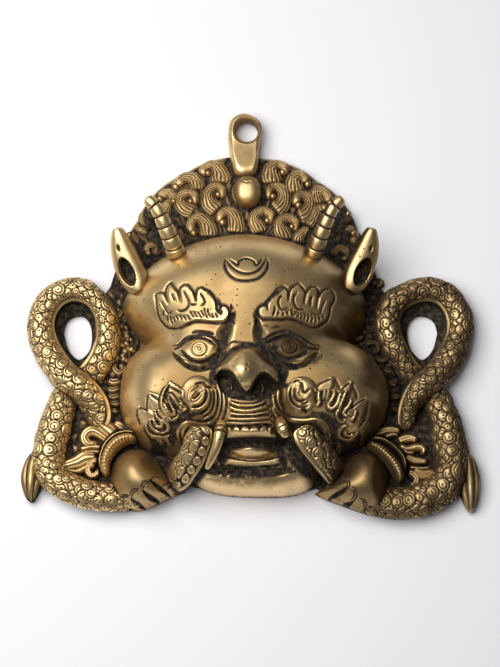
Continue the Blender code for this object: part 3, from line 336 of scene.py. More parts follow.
# Where the crust is thick without a cut: beside the brows, round the eyes, under the nose and along the
# chin, with the half width and the strength of each
CRUST = (
    (((-26.5, 6.4), (-21.6, 2.6), (-17.6, -1.6), (-15.4, -5.2)), 2.2, 1),
    (((-10.6, -3.4), (-9.6, -8.4), (-9.8, -12.9), (-12.2, -17.5)), 2.6, 1),
    (((-10, -11), (-10.5, -15.1), (-12.7, -19.9), (-14.8, -25.4), (-19.1, -31.4), (-27.1, -35.6)), 3, 0.85),
    (((18.4, 6), (13.6, 2.6), (5.4, -5.5)), 2, 1), (((3, -6), (2.4, -10), (3.6, -16)), 1.9, 1),
    (((4, -17.7), (9.4, -15.2), (15.9, -15.3)), 2.4, 0.8),
    (((2.9, -23.7), (7.2, -27), (15.3, -35), (18.7, -39.6), (18.4, -45)), 3.2, 1),
    (((9.4, -21.5), (13.7, -24.8), (12.6, -29.2), (17.4, -34.1), (23.3, -37.2), (29.8, -36.5)), 3.2, 1),
    (((9, -22), (18.5, -21), (26.5, -20.4), (33.1, -24.8)), 3, 0.75),
    (((30, -36.5), (36, -33), (39, -29)), 3, 0.7),
    (((-40.1, -30), (-32.5, -36.6), (-23.9, -37.6), (-17.5, -34)), 2.6, 0.7),
    (((-12, -54), (4, -54.8), (12, -54)), 2.2, 1),
    (((26.4, -58.7), (30.7, -61.4), (36.1, -62.8), (41.5, -65.4), (43.1, -70.6)), 2.6, 1),
    (((17.9, -46.7), (20.2, -47.9)), 2.2, 0.9),
    (((-26, -90.6), (-10, -92.2), (4, -92.6), (24, -91)), 3.8, 0.95),
    # The broad band over the right eye is partly crust and partly painted shade on the side away from the
    # light.
    (((12, -27), (22, -27.5), (31, -27)), 9.5, 0.45),
    (((-24, -94.4), (-10, -96), (6, -96.4), (24, -94.4)), 3.6, 0.45),
)
SOOT_HALF = 4.6
# Where soot and old wax stay: beside the mouth, round the whiskers and under the flames
SOOT = (
    ((-14, -74), (-13, -80), (-16, -88)), ((14, -73), (16, -80), (19, -90)),
    ((-30, -62.5), (-36, -63.5), (-41, -67.5), (-42, -76)),
    ((35, -61.5), (40, -63.5), (45, -68.5), (46, -78)), ((-20, -70), (-28, -71.5), (-33, -76)),
    ((22, -68.5), (30, -69), (36, -74)), ((-44, -74), (-50, -76), (-55, -72)),
    ((48, -74), (55, -76), (60, -71)), ((18, -72), (23, -79), (29, -88)), ((20, -82), (26, -88), (33, -93)),
    ((-22, -86), (-27, -91), (-32, -95)),
)


def smooth_step(values):
    """0 below 0, 1 above 1, and an S-curve between."""
    t = np.clip(values, 0.0, 1.0)
    return t * t * (3.0 - 2.0 * t)


def melt(heights, width):
    """The largest of several heights, with the creases between them rounded over about this width."""
    stack = np.stack(heights)
    top = stack.max(axis=0)
    return top + width * np.log(np.exp((stack - top) / width).sum(axis=0))


def rounded_box(u, y, form, grow=0.0):
    """Height of a rounded box over the plan, falling away outside it. grow moves all its sides out."""
    across, up, half_width, half_length, foot, height, corner, crown = form
    out = np.abs((u - across) / (half_width + grow)) ** corner
    out += np.abs((y - up) / (half_length + grow)) ** corner
    out = out ** (1.0 / corner)
    inside = (height + grow) * np.clip(1.0 - out ** crown, 0.0, 1.0) ** (1.0 / crown)
    return foot + np.where(out < 1.0, inside, (1.0 - out) * height)


def smooth_head(u, y, grow=0.0):
    """Height of the head without its features. grow is negative for the hollow inside it."""
    return melt([rounded_box(u, y, form, grow) for form in (SKULL, FACE, CHEEK, MUZZLE, JAW)], HEAD_MELT)


def nose_height(plan):
    """Height of the nose: tents over its ridges, z - slope (sqrt(d^2 + r^2) - r) at a distance d, and its
    round tip."""
    forms = []
    for line, heights, slope in NOSE_RIDGES:
        away, share = distance_to_line(plan, smooth_line(line, 6))
        ridge = np.interp(share, np.linspace(0.0, 1.0, len(heights)), heights)
        forms.append(ridge - slope * (np.sqrt(away ** 2 + NOSE_ROUND ** 2) - NOSE_ROUND))
    middle, radius, top, fall = NOSE_TIP
    out = np.linalg.norm(plan - middle, axis=1) / radius
    forms.append(top - radius * (1.0 - dome(out)) - fall * np.clip(out - 1.0, 0.0, None))
    return melt(forms, NOSE_MELT)


def speckled(plan, size, seed):
    """Smooth noise over the plan from 0 to 1, with blots of about this size.

    It is the sum of three octaves of random values on a lattice that repeats, each read between its corners.
    """
    draw = np.random.default_rng(seed)
    columns, rows = 97, 89
    total = np.zeros(len(plan))
    for octave, weight in ((1.0, 0.6), (2.1, 0.3), (4.3, 0.15)):
        lattice = draw.random((columns, rows))
        spot = plan * octave / size + 500.0
        whole = np.floor(spot).astype(int)
        part = smooth_step(spot - whole)
        corner = [lattice[(whole[:, 0] + a) % columns, (whole[:, 1] + b) % rows]
                  for a in (0, 1) for b in (0, 1)]
        low = corner[0] + (corner[1] - corner[0]) * part[:, 1]
        high = corner[2] + (corner[3] - corner[2]) * part[:, 1]
        total += weight * (low + (high - low) * part[:, 0])
    return np.clip((total - 0.22) / 0.62, 0.0, 1.0)


def bump(distance):
    """1 at no distance, falling smoothly to 0 at a distance of 1."""
    return np.clip(1.0 - distance ** 2, 0.0, 1.0) ** 2


def dome(distance):
    """1 at no distance, falling as a circle to 0 at a distance of 1."""
    return np.sqrt(np.clip(1.0 - distance ** 2, 0.0, 1.0))


def smooth_line(points, steps):
    """A smooth curve through the points, by a cubic through each four neighbours, with this many steps a
    span."""
    points = np.asarray(points, float)
    padded = np.concatenate([2 * points[:1] - points[1:2], points, 2 * points[-1:] - points[-2:-1]])
    t = np.linspace(0.0, 1.0, steps, endpoint=False)[:, None]
    spans = []
    for before, start, end, after in zip(padded[:-3], padded[1:-2], padded[2:-1], padded[3:]):
        slope_in, slope_out = 0.5 * (end - before), 0.5 * (after - start)
        spans.append(start + slope_in * t + (3 * (end - start) - 2 * slope_in - slope_out) * t ** 2
                     + (2 * (start - end) + slope_in + slope_out) * t ** 3)
    return np.concatenate([*spans, points[-1:]])


def closed_line(points, steps):
    """A smooth closed curve through the points, with this many steps a span."""
    return smooth_line([*points, points[0]], steps)[:-1]


def all_round(count):
    """Directions evenly all round, from 0."""
    return np.linspace(0.0, 2.0 * np.pi, count, endpoint=False)


def lengths_along(line):
    """The length of a line of points up to each of them."""
    return np.concatenate(([0.0], np.cumsum(np.linalg.norm(np.diff(line, axis=0), axis=1))))


def distance_to_line(plan, line):
    """Distance over the plan to a line of points, and the share of the line's length at the nearest place."""
    begins = lengths_along(line)
    nearest = np.full(len(plan), np.inf)
    share = np.zeros(len(plan))
    for start, end, length, begin in zip(line[:-1], line[1:], np.diff(begins), begins):
        along = np.clip((plan - start) @ (end - start) / length ** 2, 0.0, 1.0)
        away = np.linalg.norm(plan - start - along[:, None] * (end - start), axis=1)
        closer = away < nearest
        nearest = np.where(closer, away, nearest)
        share = np.where(closer, (begin + along * length) / begins[-1], share)
    return nearest, share


def drawn(plan, lines, half_width, ends=0.12):
    """How far each place of the plan is under some lines: 1 on a line and 0 from its half width out.

    The half width narrows as a square root over the first and the last share of the line given by ends.
    """
    under = np.zeros(len(plan))
    for line in lines:
        line = smooth_line(line, 4)
        near = ((plan > line.min(axis=0) - half_width) & (plan < line.max(axis=0) + half_width)).all(axis=1)
        near = np.flatnonzero(near)
        away, share = distance_to_line(plan[near], line)
        taper = np.sqrt(np.clip(np.minimum(share, 1.0 - share) / max(ends, 1e-6), 0.08, 1.0))
        under[near] = np.maximum(under[near], bump(away / (half_width * taper)))
    return under


def inside_of(plan, outline, margin=4.0):
    """Signed distance of each place to a closed outline, above 0 inside it, and -margin beyond that
    distance."""
    outline = np.asarray(outline, float)
    signed = np.full(len(plan), -margin)
    near = ((plan > outline.min(axis=0) - margin) & (plan < outline.max(axis=0) + margin)).all(axis=1)
    near = np.flatnonzero(near)
    spots = plan[near]
    away, _ = distance_to_line(spots, np.concatenate([outline, outline[:1]]))
    crossings = np.zeros(len(spots), int)
    for (x0, y0), (x1, y1) in zip(outline, np.roll(outline, -1, axis=0)):
        spans = (y0 > spots[:, 1]) != (y1 > spots[:, 1])
        crossings += spans & (spots[:, 0] < x0 + (spots[:, 1] - y0) * (x1 - x0) / (y1 - y0 + 1e-12))
    signed[near] = np.maximum(np.where(crossings % 2 == 1, away, -away), -margin)
    return signed


def leaned(points):
    """The points with the lean of the hand-made model: heights up the face are shifted across, the left
    coil lower."""
    points = np.array(points, float)
    x, y = points[:, 0].copy(), points[:, 1].copy()
    feature = np.interp(y, *np.transpose(FEATURE_SHIFT))
    outline = np.interp(y, *np.transpose(OUTLINE_SHIFT))
    outward = smooth_step((np.abs(x) - 28.0) / 26.0)
    points[:, 0] += (feature + (outline - feature) * outward) * (1.0 - smooth_step((np.abs(x) - 76.0) / 22.0))
    points[:, 1] -= COIL_SAG * np.clip(x / 100.0, -1.0, 1.0) * smooth_step((-78.0 - y) / 30.0)
    return points


def mirrored(body, side):
    """A body of the right side, mirrored for the left where side is -1, with the lean of the model."""
    points, faces, dark = body
    return leaned(points * (side, 1.0, 1.0)), faces, dark


class Carving:
    """The height of the face and how dark it is, over places of the plan, while its features are carved in
    turn."""

    def __init__(self, plan, height):
        self.plan = plan
        self.height = height
        self.dark = np.zeros(len(plan))

    def darken(self, values):
        """Makes each place at least this dark."""
        self.dark = np.maximum(self.dark, values)

    def engrave(self, under, depth, strength=1.0, gain=1.3):
        """Sinks the places where a drawing is 1 by the depth, and fills them with crust: strength S(gain
        under)."""
        self.height -= depth * under
        self.darken(strength * smooth_step(gain * under))

    def cut(self, lines, half_width, depth, strength=1.0, gain=1.3, ends=0.12):
        """Engraves lines."""
        self.engrave(drawn(self.plan, lines, half_width, ends), depth, strength, gain)

    def ridge(self, lines, half_width, rise, ends=0.12):
        """Raises lines with soft sides."""
        self.height += rise * drawn(self.plan, lines, half_width, ends)

    def cord(self, lines, half_width, rise, reach, strength, gain, clear):
        """Raises lines as round cords with crust beside them, out to a reach, and gives how far each place
        is under.

        The crust is strength S(gain beside) S(1.2 - clear under), so it stops where the cord rises.
        """
        under = drawn(self.plan, lines, half_width)
        self.height += rise * np.sqrt(under)
        beside = drawn(self.plan, lines, reach)
        self.darken(strength * smooth_step(gain * beside) * smooth_step(1.2 - clear * under))
        return under


def carve_eyes(face):
    """The crusted sockets beside the nose, the eyeballs with ringed irises, and the folds and cuts of the
    lids."""
    plan = face.plan
    sockets = np.max([drawn(plan, [line], half_width, ends=0.3) for line, half_width in SOCKETS], axis=0)
    face.height -= SOCKET_DEPTH * sockets
    face.darken(0.72 * smooth_step(1.3 * sockets * (0.45 + 1.1 * speckled(plan, 3.4, 5))))
    for eye, pupil in zip(EYES, IRISES):
        out = (plan - eye) / EYE_HALF
        face.height += EYE_RISE * dome(np.hypot(out[:, 0], out[:, 1]))
        away = np.linalg.norm(plan - pupil, axis=1)
        face.height += IRIS_RISE * smooth_step((IRIS_RADIUS - away) / 0.5) + PUPIL_RISE * bump(away)
        rings = np.max([share * bump((away - radius) / half) for radius, half, share in IRIS_RINGS], axis=0)
        face.height -= IRIS_RING_DEPTH * rings
        face.darken(0.6 * rings)
    face.ridge(LID_FOLDS, half_width=1.7, rise=1.3)
    face.cut(EYE_CUTS, half_width=1.25, depth=1.2, gain=1.35)


def carve_brows(face):
    """The brows, raised as flat flames with a groove round them, their strands, and the crescent on the
    forehead."""
    for brow in BROWS:
        inside = inside_of(face.plan, brow)
        face.height += BROW_RISE * smooth_step((inside + 0.3) / 0.9)
        face.height -= BROW_GROOVE * bump((inside + 0.7) / 0.9)
        face.darken(smooth_step(1.5 * bump((inside + 0.5) / 0.8)))
    face.cut(BROW_CUTS, half_width=0.8, depth=0.75, strength=0.85)
    face.cut(MOON_CUTS, half_width=1.1, depth=0.9)


def carve_whiskers(face):
    """The whiskers that flow round into curls, and the flames behind them. Gives how far each place is
    under both."""
    plates = drawn(face.plan, FLAME_PLATES, FLAME_PLATE_HALF, ends=0.5)
    face.height += FLAME_PLATE_RISE * smooth_step(2.0 * plates)
    for across, up, half_width, half_length in CURL_DOMES:
        out = (face.plan - (across, up)) / (half_width, half_length)
        face.height += CURL_RISE * dome(np.hypot(out[:, 0], out[:, 1]))
    whiskers = face.cord(WHISKER_RIDGES, half_width=1.35, rise=2.0,
                         reach=3.2, strength=0.85, gain=2.5, clear=5.0)
    face.ridge(WHISKER_CURLS, half_width=1.0, rise=1.2)
    face.cut(WHISKER_CUTS, half_width=0.85, depth=1.3, strength=0.9)
    flames = face.cord(FLAME_RIDGES, half_width=1.0, rise=2.1, reach=2.5, strength=0.95, gain=2.4, clear=4.0)
    face.cut(FLAME_CUTS, half_width=0.8, depth=1.0, gain=1.5)
    return np.maximum(whiskers, flames)


def carve_mouth(face):
    """The folds of the upper lip, the teeth, the open mouth with its tongue, the lower lip and the chin's
    lines."""
    plan = face.plan
    face.ridge(LIP_RIDGES, half_width=1.1, rise=1.6, ends=0.05)
    folds = np.maximum(drawn(plan, LIP_CUTS, 0.85, ends=0.05), drawn(plan, [TEETH_TOP], 0.9, ends=0.05))
    face.engrave(folds, depth=1.3, gain=1.5)
    face.ridge([TEETH_BAND], half_width=2.8, rise=2.4, ends=0.05)
    for across, up in TEETH_NOTCHES:
        half = NOTCH_HALF * np.clip((plan[:, 1] - up) / (NOTCH_TOP - up), 0.0, 1.0)
        between = (plan[:, 1] > up) * (plan[:, 1] < NOTCH_CUT_OFF)
        notch = smooth_step((half - np.abs(plan[:, 0] - across)) / 0.5 + 0.5) * between
        face.height -= NOTCH_DEPTH * notch
        face.darken(notch)
    face.cut([MOUTH_GAP], half_width=3.8, depth=6.0, strength=0.95, gain=2.5, ends=0.15)
    tongue = smooth_step((inside_of(plan, TONGUE) + 0.4) / 3.2)
    face.height += TONGUE_RISE * np.sqrt(tongue)
    face.dark *= 1.0 - 0.9 * tongue
    face.ridge([LOWER_LIP], half_width=2.2, rise=2.8)
    groove = drawn(plan, [CHIN_GROOVE], 4.4)
    face.height -= CHIN_GROOVE_DEPTH * groove
    face.darken(0.8 * groove * (0.5 + speckled(plan, 1.6, 4)))
    face.cut(CHIN_CUTS, half_width=0.85, depth=1.1, strength=0.95, gain=1.4)


def carve_nose(face):
    """The nose over all else, with dark edges, two creases, pits and nostrils. Gives the distance inside
    its outline."""
    plan = face.plan
    inside = inside_of(plan, NOSE_OUTLINE, margin=8.0)
    flank = smooth_step((plan[:, 1] - NOSE_WINGS) / 6.0)
    on_nose = smooth_step((inside + 0.8) / (1.6 + 3.0 * flank))
    face.height += np.maximum(nose_height(plan) - face.height, NOSE_LEAST_RISE) * on_nose
    face.dark *= 1.0 - smooth_step((inside + 0.8) / 1.8)
    face.darken(0.95 * bump((inside + 1.9) / 2.6))
    # A faint dull band inside the edge of the nose's upper part: partly brown crust, partly painted shade
    # where the top turns away from the light.
    face.darken(0.24 * flank * smooth_step((inside + 0.5) / 0.6) * smooth_step((5.5 - inside) / 5.0))
    face.cut(NOSE_CREASES, half_width=0.8, depth=0.6, strength=0.8)
    face.ridge(NOSE_LIPS, half_width=0.9, rise=0.6)
    face.darken((1.0 - flank) * smooth_step((inside + 2.0) / 0.8) * smooth_step((0.75 - inside) / 0.5))
    for pit in NOSE_PITS:
        face.engrave(bump(np.linalg.norm(plan - pit, axis=1) / 0.9), depth=0.6, gain=1.6)
    holes = np.maximum(*(smooth_step((inside_of(plan, nostril) + 0.4) / 1.2) for nostril in NOSTRILS))
    blades = drawn(plan, NOSTRIL_BLADES, 1.2)
    face.height += BLADE_RISE * blades - NOSTRIL_DEPTH * holes
    face.darken(holes * (1.0 - 0.55 * blades))
    return inside


def face_surface(x, y):
    """Height of the face over the plan before the lean, and how dark its carving is, from 0 to 1."""
    plan = leaned(np.column_stack([x, y, np.zeros(len(x))]))[:, :2]
    face = Carving(plan, smooth_head(np.abs(x), y))
    carve_eyes(face)
    carve_brows(face)
    cords = carve_whiskers(face)
    carve_mouth(face)
    soot = drawn(plan, SOOT, SOOT_HALF, ends=0.3) ** 0.6
    face.darken(0.9 * soot * smooth_step(1.0 - 8.0 * cords))
    inside = carve_nose(face)
    blots = smooth_step(0.40 + 0.9 * speckled(plan, 2.4, 12)) * smooth_step(1.0 - 2.0 * (inside + 0.8))
    for line, half_width, strength in CRUST:
        face.darken(strength * drawn(plan, [line], half_width, ends=0.3) ** 0.5 * blots)
    return face.height, np.clip(face.dark, 0.0, 1.0)


def outline_reach(height_of, angles, reach=HEAD_REACH, steps=480):
    """How far out from the head's middle the height stays above 0, for each direction."""
    distances = np.linspace(0.0, reach, steps)
    x = HEAD_MIDDLE[0] + np.outer(np.cos(angles), distances)
    y = HEAD_MIDDLE[1] + np.outer(np.sin(angles), distances)
    height = height_of(x, y)
    last = steps - 1 - np.argmax(height[:, ::-1] > 0.0, axis=1)
    rows = np.arange(len(angles))
    inner, outer = height[rows, last], height[rows, np.minimum(last + 1, steps - 1)]
    return distances[last] + distances[1] * inner / np.maximum(inner - outer, 1e-9)


def new_piece(name, points, faces, dark, floor=0.05):
    """One mesh object of the casting, from points in millimetres and faces as a list of equal-sided face
    arrays."""
    points = np.asarray(points, float).copy()
    points[:, :2] -= OUTLINE_MIDDLE
    points = np.clip(points * 0.001, solid_low + (0.0, 0.0, 0.001 * floor), solid_high)
    sides = [group.reshape(-1, group.shape[-1]) for group in faces]
    fan = [(group[:, 0], group[:, k], group[:, k + 1])
           for group in sides for k in range(1, group.shape[1] - 1)]
    volume = sum(np.einsum("ij,ij->", points[a], np.cross(points[b], points[c])) for a, b, c in fan)
    if volume < 0:
        sides = [group[:, ::-1] for group in sides]
    mesh = bpy.data.meshes.new(name)
    mesh.vertices.add(len(points))
    mesh.vertices.foreach_set("co", points.ravel())
    corners = np.concatenate([group.ravel() for group in sides])
    counts = np.concatenate([np.full(len(group), group.shape[1]) for group in sides])
    mesh.loops.add(len(corners))
    mesh.loops.foreach_set("vertex_index", corners)
    mesh.polygons.add(len(counts))
    mesh.polygons.foreach_set("loop_start", np.concatenate(([0], np.cumsum(counts)[:-1])))
    mesh.polygons.foreach_set("use_smooth", np.ones(len(counts), bool))
    mesh.update(calc_edges=True)
    made = bpy.data.objects.new(name, mesh)
    bpy.context.scene.collection.objects.link(made)
    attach(made, "root")
    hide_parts("kirtimukha_mask")
    casting.append((made, points * 1000.0, np.broadcast_to(dark, len(points)).copy()))
    return made


def grid_corners(rows, columns, closed):
    """The corners of the quads between neighbouring rows of a grid, whose columns may close on themselves."""
    last = columns if closed else columns - 1
    row, column = np.meshgrid(np.arange(rows - 1), np.arange(last), indexing="ij")
    after = (column + 1) % columns
    return np.stack([row * columns + column, row * columns + after,
                     (row + 1) * columns + after, (row + 1) * columns + column], axis=-1).reshape(-1, 4)


def head_mesh():
    """The carved front on a square grid bent to the head's outline, and a plainer hollow joined to it at
    the rim.

    A place at r, the larger of its two square coordinates, lies at r + 0.8 r^6 (1 - r) of the head's reach
    in its direction, which puts more rows on the steep sides.
    """
    line = np.linspace(-1.0, 1.0, HEAD_STEPS + 1)
    a, b = (grid.ravel() for grid in np.meshgrid(line, line, indexing="ij"))
    wide = np.abs(a) >= np.abs(b)
    safe_a, safe_b = np.where(a == 0, 1.0, a), np.where(b == 0, 1.0, b)
    turn = np.where(wide, 0.25 * np.pi * b / safe_a, 0.5 * np.pi - 0.25 * np.pi * a / safe_b)
    radius = np.where(wide, a, b)
    turn = np.where(radius < 0, turn + np.pi, turn)
    radius = np.abs(radius)
    spokes = all_round(HEAD_SPOKES)
    outer = outline_reach(lambda x, y: smooth_head(np.abs(x), y), spokes)
    inner = outline_reach(lambda x, y: smooth_head(np.abs(x), y, -HEAD_WALL), spokes)
    share = radius + 0.8 * radius ** 6 * (1.0 - radius)
    reach = share * np.interp(turn, spokes, outer, period=2.0 * np.pi)
    x, y = HEAD_MIDDLE[0] + reach * np.cos(turn), HEAD_MIDDLE[1] + reach * np.sin(turn)
    height, dark = face_surface(x, y)
    front = np.column_stack([x, y, np.maximum(height, HEAD_RIM)])
    side = HEAD_STEPS + 1
    index = np.arange(side * side).reshape(side, side)
    rim = np.concatenate([index[-1, :-1], index[:0:-1, -1], index[0, :0:-1], index[:-1, 0]])
    rim_turn = turn[rim[::HOLLOW_SKIP]]
    columns = len(rim_turn)
    depth = np.cos(np.linspace(0.0, 0.5 * np.pi, HOLLOW_RINGS, endpoint=False))[:, None]
    back = depth * np.interp(rim_turn, spokes, inner, period=2.0 * np.pi)
    back_x = (HEAD_MIDDLE[0] + back * np.cos(rim_turn)).ravel()
    back_y = (HEAD_MIDDLE[1] + back * np.sin(rim_turn)).ravel()
    carved, _ = face_surface(back_x, back_y)
    hollow = np.minimum(smooth_head(np.abs(back_x), back_y, -HEAD_WALL), carved - LEAST_WALL)
    hollow[:columns] = HEAD_RIM
    hollow = np.column_stack([back_x, back_y, np.maximum(hollow, HEAD_RIM)])
    top = hollow[-columns:].mean(axis=0) + (0.0, 0.0, 0.5)
    count = len(front)
    around = [index[:-1, :-1], index[1:, :-1], index[1:, 1:], index[:-1, 1:]]
    squares = np.stack(around, axis=-1).reshape(-1, 4)
    rings = count + grid_corners(HOLLOW_RINGS, columns, closed=True)[:, ::-1]
    steps = np.arange(columns)
    after = (steps + 1) % columns
    cap = np.column_stack([count + len(hollow) - columns + steps, count + len(hollow) - columns + after,
                           np.full(columns, count + len(hollow))])[:, ::-1]
    edge = [rim[(HOLLOW_SKIP * steps + k) % len(rim)] for k in range(HOLLOW_SKIP + 1)]
    joins = np.column_stack([*edge, count + after, count + steps])
    points = np.concatenate([front, hollow, top[None]])
    dark = np.concatenate([dark, np.full(len(hollow) + 1, 0.6)])
    return leaned(points), [squares, rings, cap, joins[:, ::-1]], dark


casting = []
new_piece("head", *head_mesh())


# Hair
# The crest's hair is rows of fat locks, each a comma of flowing strands that rolls over into a small knob.
# They are carved in relief on the plate, which swells towards the head.
CREST_MIDDLE = 23.8
CREST_RADIUS = 69.0
CREST_LOBE = 1.6
CREST_LOBES = 11
CREST_THICKNESS = 6.0
CREST_SWELL = 7.5
# Each lock is its middle line from the root to the eye, with its half width at each point.
LOCKS = (
    ((-17.3, 76.5, 5), (-17.2, 81.4, 4.8), (-18.4, 85.3, 3.8), (-21.4, 88.1, 2.2), (-24.9, 87, 1.7),
     (-26.9, 84.5, 1.5), (-24.1, 83.1, 1.1)),
    ((-30.4, 72.3, 3.6), (-30.8, 76.8, 3.6), (-32.7, 80.1, 3.1), (-36.8, 80.6, 2.3), (-40.4, 78.1, 2),
     (-42.5, 75.2, 1.5)),
    ((-43.3, 65.1, 2.5), (-43.9, 69, 2.6), (-46.8, 71.3, 2.2), (-49.9, 70.3, 1.7), (-51.4, 68.3, 1.2)),
    ((-18.5, 59.6, 4.9), (-22.6, 63.8, 4.3), (-24.1, 69, 3.1), (-22.6, 73.2, 2.3), (-19.1, 74.9, 1.8),
     (-16.4, 72.6, 1.7), (-16.6, 70, 1.5), (-18.4, 69.7, 1.1)),
    ((-31.6, 59.2, 3.8), (-36.3, 61.5, 4.2), (-39.8, 65.4, 3.1), (-39.5, 69.3, 2.3), (-35.8, 71.1, 1.8),
     (-32.2, 70, 1.8), (-32, 66.7, 1.7), (-34, 65.9, 1.2)),
    ((-9, 46, 4.8), (-8.1, 51.1, 4.1), (-8.8, 55.7, 3.6), (-11.6, 59.1, 2.3), (-15.3, 58.7, 2),
     (-17.1, 55.7, 1.7), (-15.8, 52.9, 1.4)),
    ((-24, 44, 4.5), (-23.9, 49.2, 4.1), (-25.8, 53.7, 3.1), (-29.6, 55.9, 2.2), (-33, 53.9, 2),
     (-33.8, 50.2, 1.7), (-32, 46.8, 1.4)),
    ((-39.6, 41.1, 2.2), (-40.4, 45.7, 2), (-41.8, 49.9, 1.4)),
    ((-49.1, 56, 2.9), (-48.6, 61.2, 2.8), (-46.7, 65.1, 1.8), (-43.6, 66.4, 1.2)),
    ((12.3, 76.2, 5.4), (11.8, 81.7, 4.9), (12, 86.1, 3.7), (14.8, 88.7, 1.7), (18.6, 87.3, 1.7),
     (19.7, 84.8, 1.6), (18.3, 83.6, 1.2)),
    ((25.4, 70.6, 4.7), (24.8, 76.5, 4.3), (25.6, 80.6, 3.4), (28.8, 82.1, 2), (31.3, 79.1, 1.7),
     (32.4, 76.5, 1.2)),
    ((39.2, 63.8, 3.7), (37.7, 68.3, 3.2), (37.7, 72.3, 2.5), (41.1, 72.1, 1.8), (43.9, 69, 1.8),
     (45.2, 65.1, 1.5)),
    ((13.5, 60.2, 4.7), (17.6, 63.5, 4.1), (19.3, 68.3, 3.2), (17.9, 72.8, 2.5), (14.3, 74.7, 1.8),
     (11.1, 72.8, 1.7), (10.9, 69.7, 1.6), (12.6, 68.6, 1.1)),
    ((26.9, 56.7, 4.3), (31, 58.3, 4.4), (33.9, 62.5, 3.6), (34.2, 66.4, 2.8), (31.4, 69, 2.3),
     (27.6, 68.9, 2.2), (26.4, 65.7, 2), (27, 63.5, 1.4)),
    ((5.9, 46, 4.1), (4, 50.2, 3.7), (2.1, 54.4, 2.6), (3.8, 58.3, 2.1), (7.8, 59.7, 1.7),
     (11.5, 57.2, 1.7), (10.8, 54.2, 1.4), (9.4, 53.8, 1)),
    ((19.4, 41.5, 4.5), (18.4, 46, 4.2), (16.7, 50.5, 2.9), (17.5, 54.2, 2.3), (21.3, 55.7, 1.8),
     (25.2, 53.4, 1.8), (25.5, 50.3, 1.5), (23.3, 50.4, 1)),
    ((27.5, 39.8, 3.2), (27.5, 44, 2.8), (30.6, 47.5, 2.2), (33.8, 46.3, 1.7)),
    ((33.5, 50.2, 3.4), (36.6, 55.4, 3.2), (38.2, 60.5, 2.6), (41.7, 62.2, 2)),
    ((-54.3, 34.4, 1.9), (-52.7, 38.3, 1.8), (-54.3, 40.7, 1.4), (-57.6, 39.8, 1.3), (-58.5, 37.3, 1.2),
     (-57.6, 35.9, 0.9)),
    ((-59.7, 60.2, 1.2), (-61.1, 57.3, 1.3), (-59.6, 53.9, 1.4), (-56.6, 53.4, 1.2), (-55.9, 55.3, 0.9)),
    ((-64.3, 48, 1.4), (-62.4, 49.5, 1.5), (-59.6, 49.5, 1.4), (-57.3, 50.9, 1)),
    ((-66.6, 41.2, 1.6), (-65.2, 43.2, 1.6), (-66.6, 46.1, 1.4), (-68.5, 47, 1)),
    ((47.1, 33.5, 2), (47.6, 36.9, 1.8), (50.4, 38.3, 1.5), (54.2, 36.9, 1.5), (55.1, 33.9, 1.3),
     (52.7, 32.5, 0.9)),
    ((54.3, 48, 1.4), (55.2, 50, 1.3), (57.1, 49.5, 1.3), (58, 47.5, 1)),
    ((55.7, 53.9, 1.4), (54.4, 56.8, 1.4), (55.3, 59.2, 1)),
    ((57, 41.2, 1.9), (58.9, 43.2, 1.8), (59.9, 46.1, 1.5), (58.5, 48, 1)),
)
LOCK_RISE = 4.4
LOCK_STRANDS = 3.0
LOCK_GROW = 1.5
LOCK_SINK = 0.6
RIBBON_DEPTH = 1.5
KNOB_GROW = 0.9
KNOB_RISE = 2.4


def crest_height(x, y):
    """Height of the plate behind the hair, which swells towards the head."""
    out = np.hypot(x, y - CREST_MIDDLE) / CREST_RADIUS
    return CREST_THICKNESS + CREST_SWELL * np.clip(1.0 - out ** 2, 0.0, 1.0)


def round_ends(share, length, reach):
    """1 along a strand, falling as a circle to nearly 0 at its two ends, over this reach."""
    away = np.minimum(share, 1.0 - share) * length / reach
    return np.sqrt(np.clip(1.0 - np.clip(1.0 - away, 0.0, 1.0) ** 2, 0.003, 1.0))


def ribbon(line, half_width, rise, foot, relief, across=26, reach=2.2):
    """A closed strand over a plan line: its back is a half ellipse of this half width and rise, plus a
    relief.

    The relief is a function of the share of the length and the place across, from -1 to 1, that gives a
    height and a darkness. The foot is the height of the edges, and the underside lies below it.
    """
    begins = lengths_along(line)
    share = begins / begins[-1]
    ends = round_ends(share, begins[-1], reach)[:, None]
    along = np.gradient(line, axis=0)
    side = np.column_stack([along[:, 1], -along[:, 0]]) / np.linalg.norm(along, axis=1)[:, None]
    place = np.sin(np.linspace(-0.5 * np.pi, 0.5 * np.pi, across))
    offset = half_width[:, None] * ends * place
    x = line[:, :1] + offset * side[:, :1]
    y = line[:, 1:2] + offset * side[:, 1:]
    extra, dark = relief(share[:, None] * np.ones(across), np.ones((len(line), 1)) * place)
    back = np.sqrt(1.0 - place ** 2)
    z = foot(x, y) + rise[:, None] * ends * back + extra * ends * np.sqrt(back)
    top = np.stack([x, y, z], axis=-1)
    under = top[:, [-1, 0]] - (0.0, 0.0, RIBBON_DEPTH)
    dark = np.concatenate([dark, np.ones((len(line), 2))], axis=1)
    return closed_body(np.concatenate([top, under], axis=1), dark)


def flat(height):
    """A foot at one height."""
    return lambda x, y: np.full(np.shape(x), height)


def plain(share, place):
    """No relief, and a little crust along the edges."""
    return 0.0 * place, 0.3 * np.abs(place) ** 4


def closed_body(rings, dark, ends=None):
    """A closed body made of rings of points, with a fan over each end: to the middle of its ring, or to a
    point."""
    rows, columns = rings.shape[:2]
    ends = rings[[0, -1]].mean(axis=1) if ends is None else ends
    steps = np.arange(columns)
    after = (steps + 1) % columns
    first, last = np.full(columns, rows * columns), np.full(columns, rows * columns + 1)
    below = (rows - 1) * columns
    fans = np.concatenate([np.column_stack([first, after, steps]),
                           np.column_stack([last, below + steps, below + after])])
    dark = np.broadcast_to(dark, (rows, columns)).ravel()
    return (np.concatenate([rings.reshape(-1, 3), ends]), [grid_corners(rows, columns, closed=True), fans],
            np.concatenate([dark, dark[[0, -1]]]))


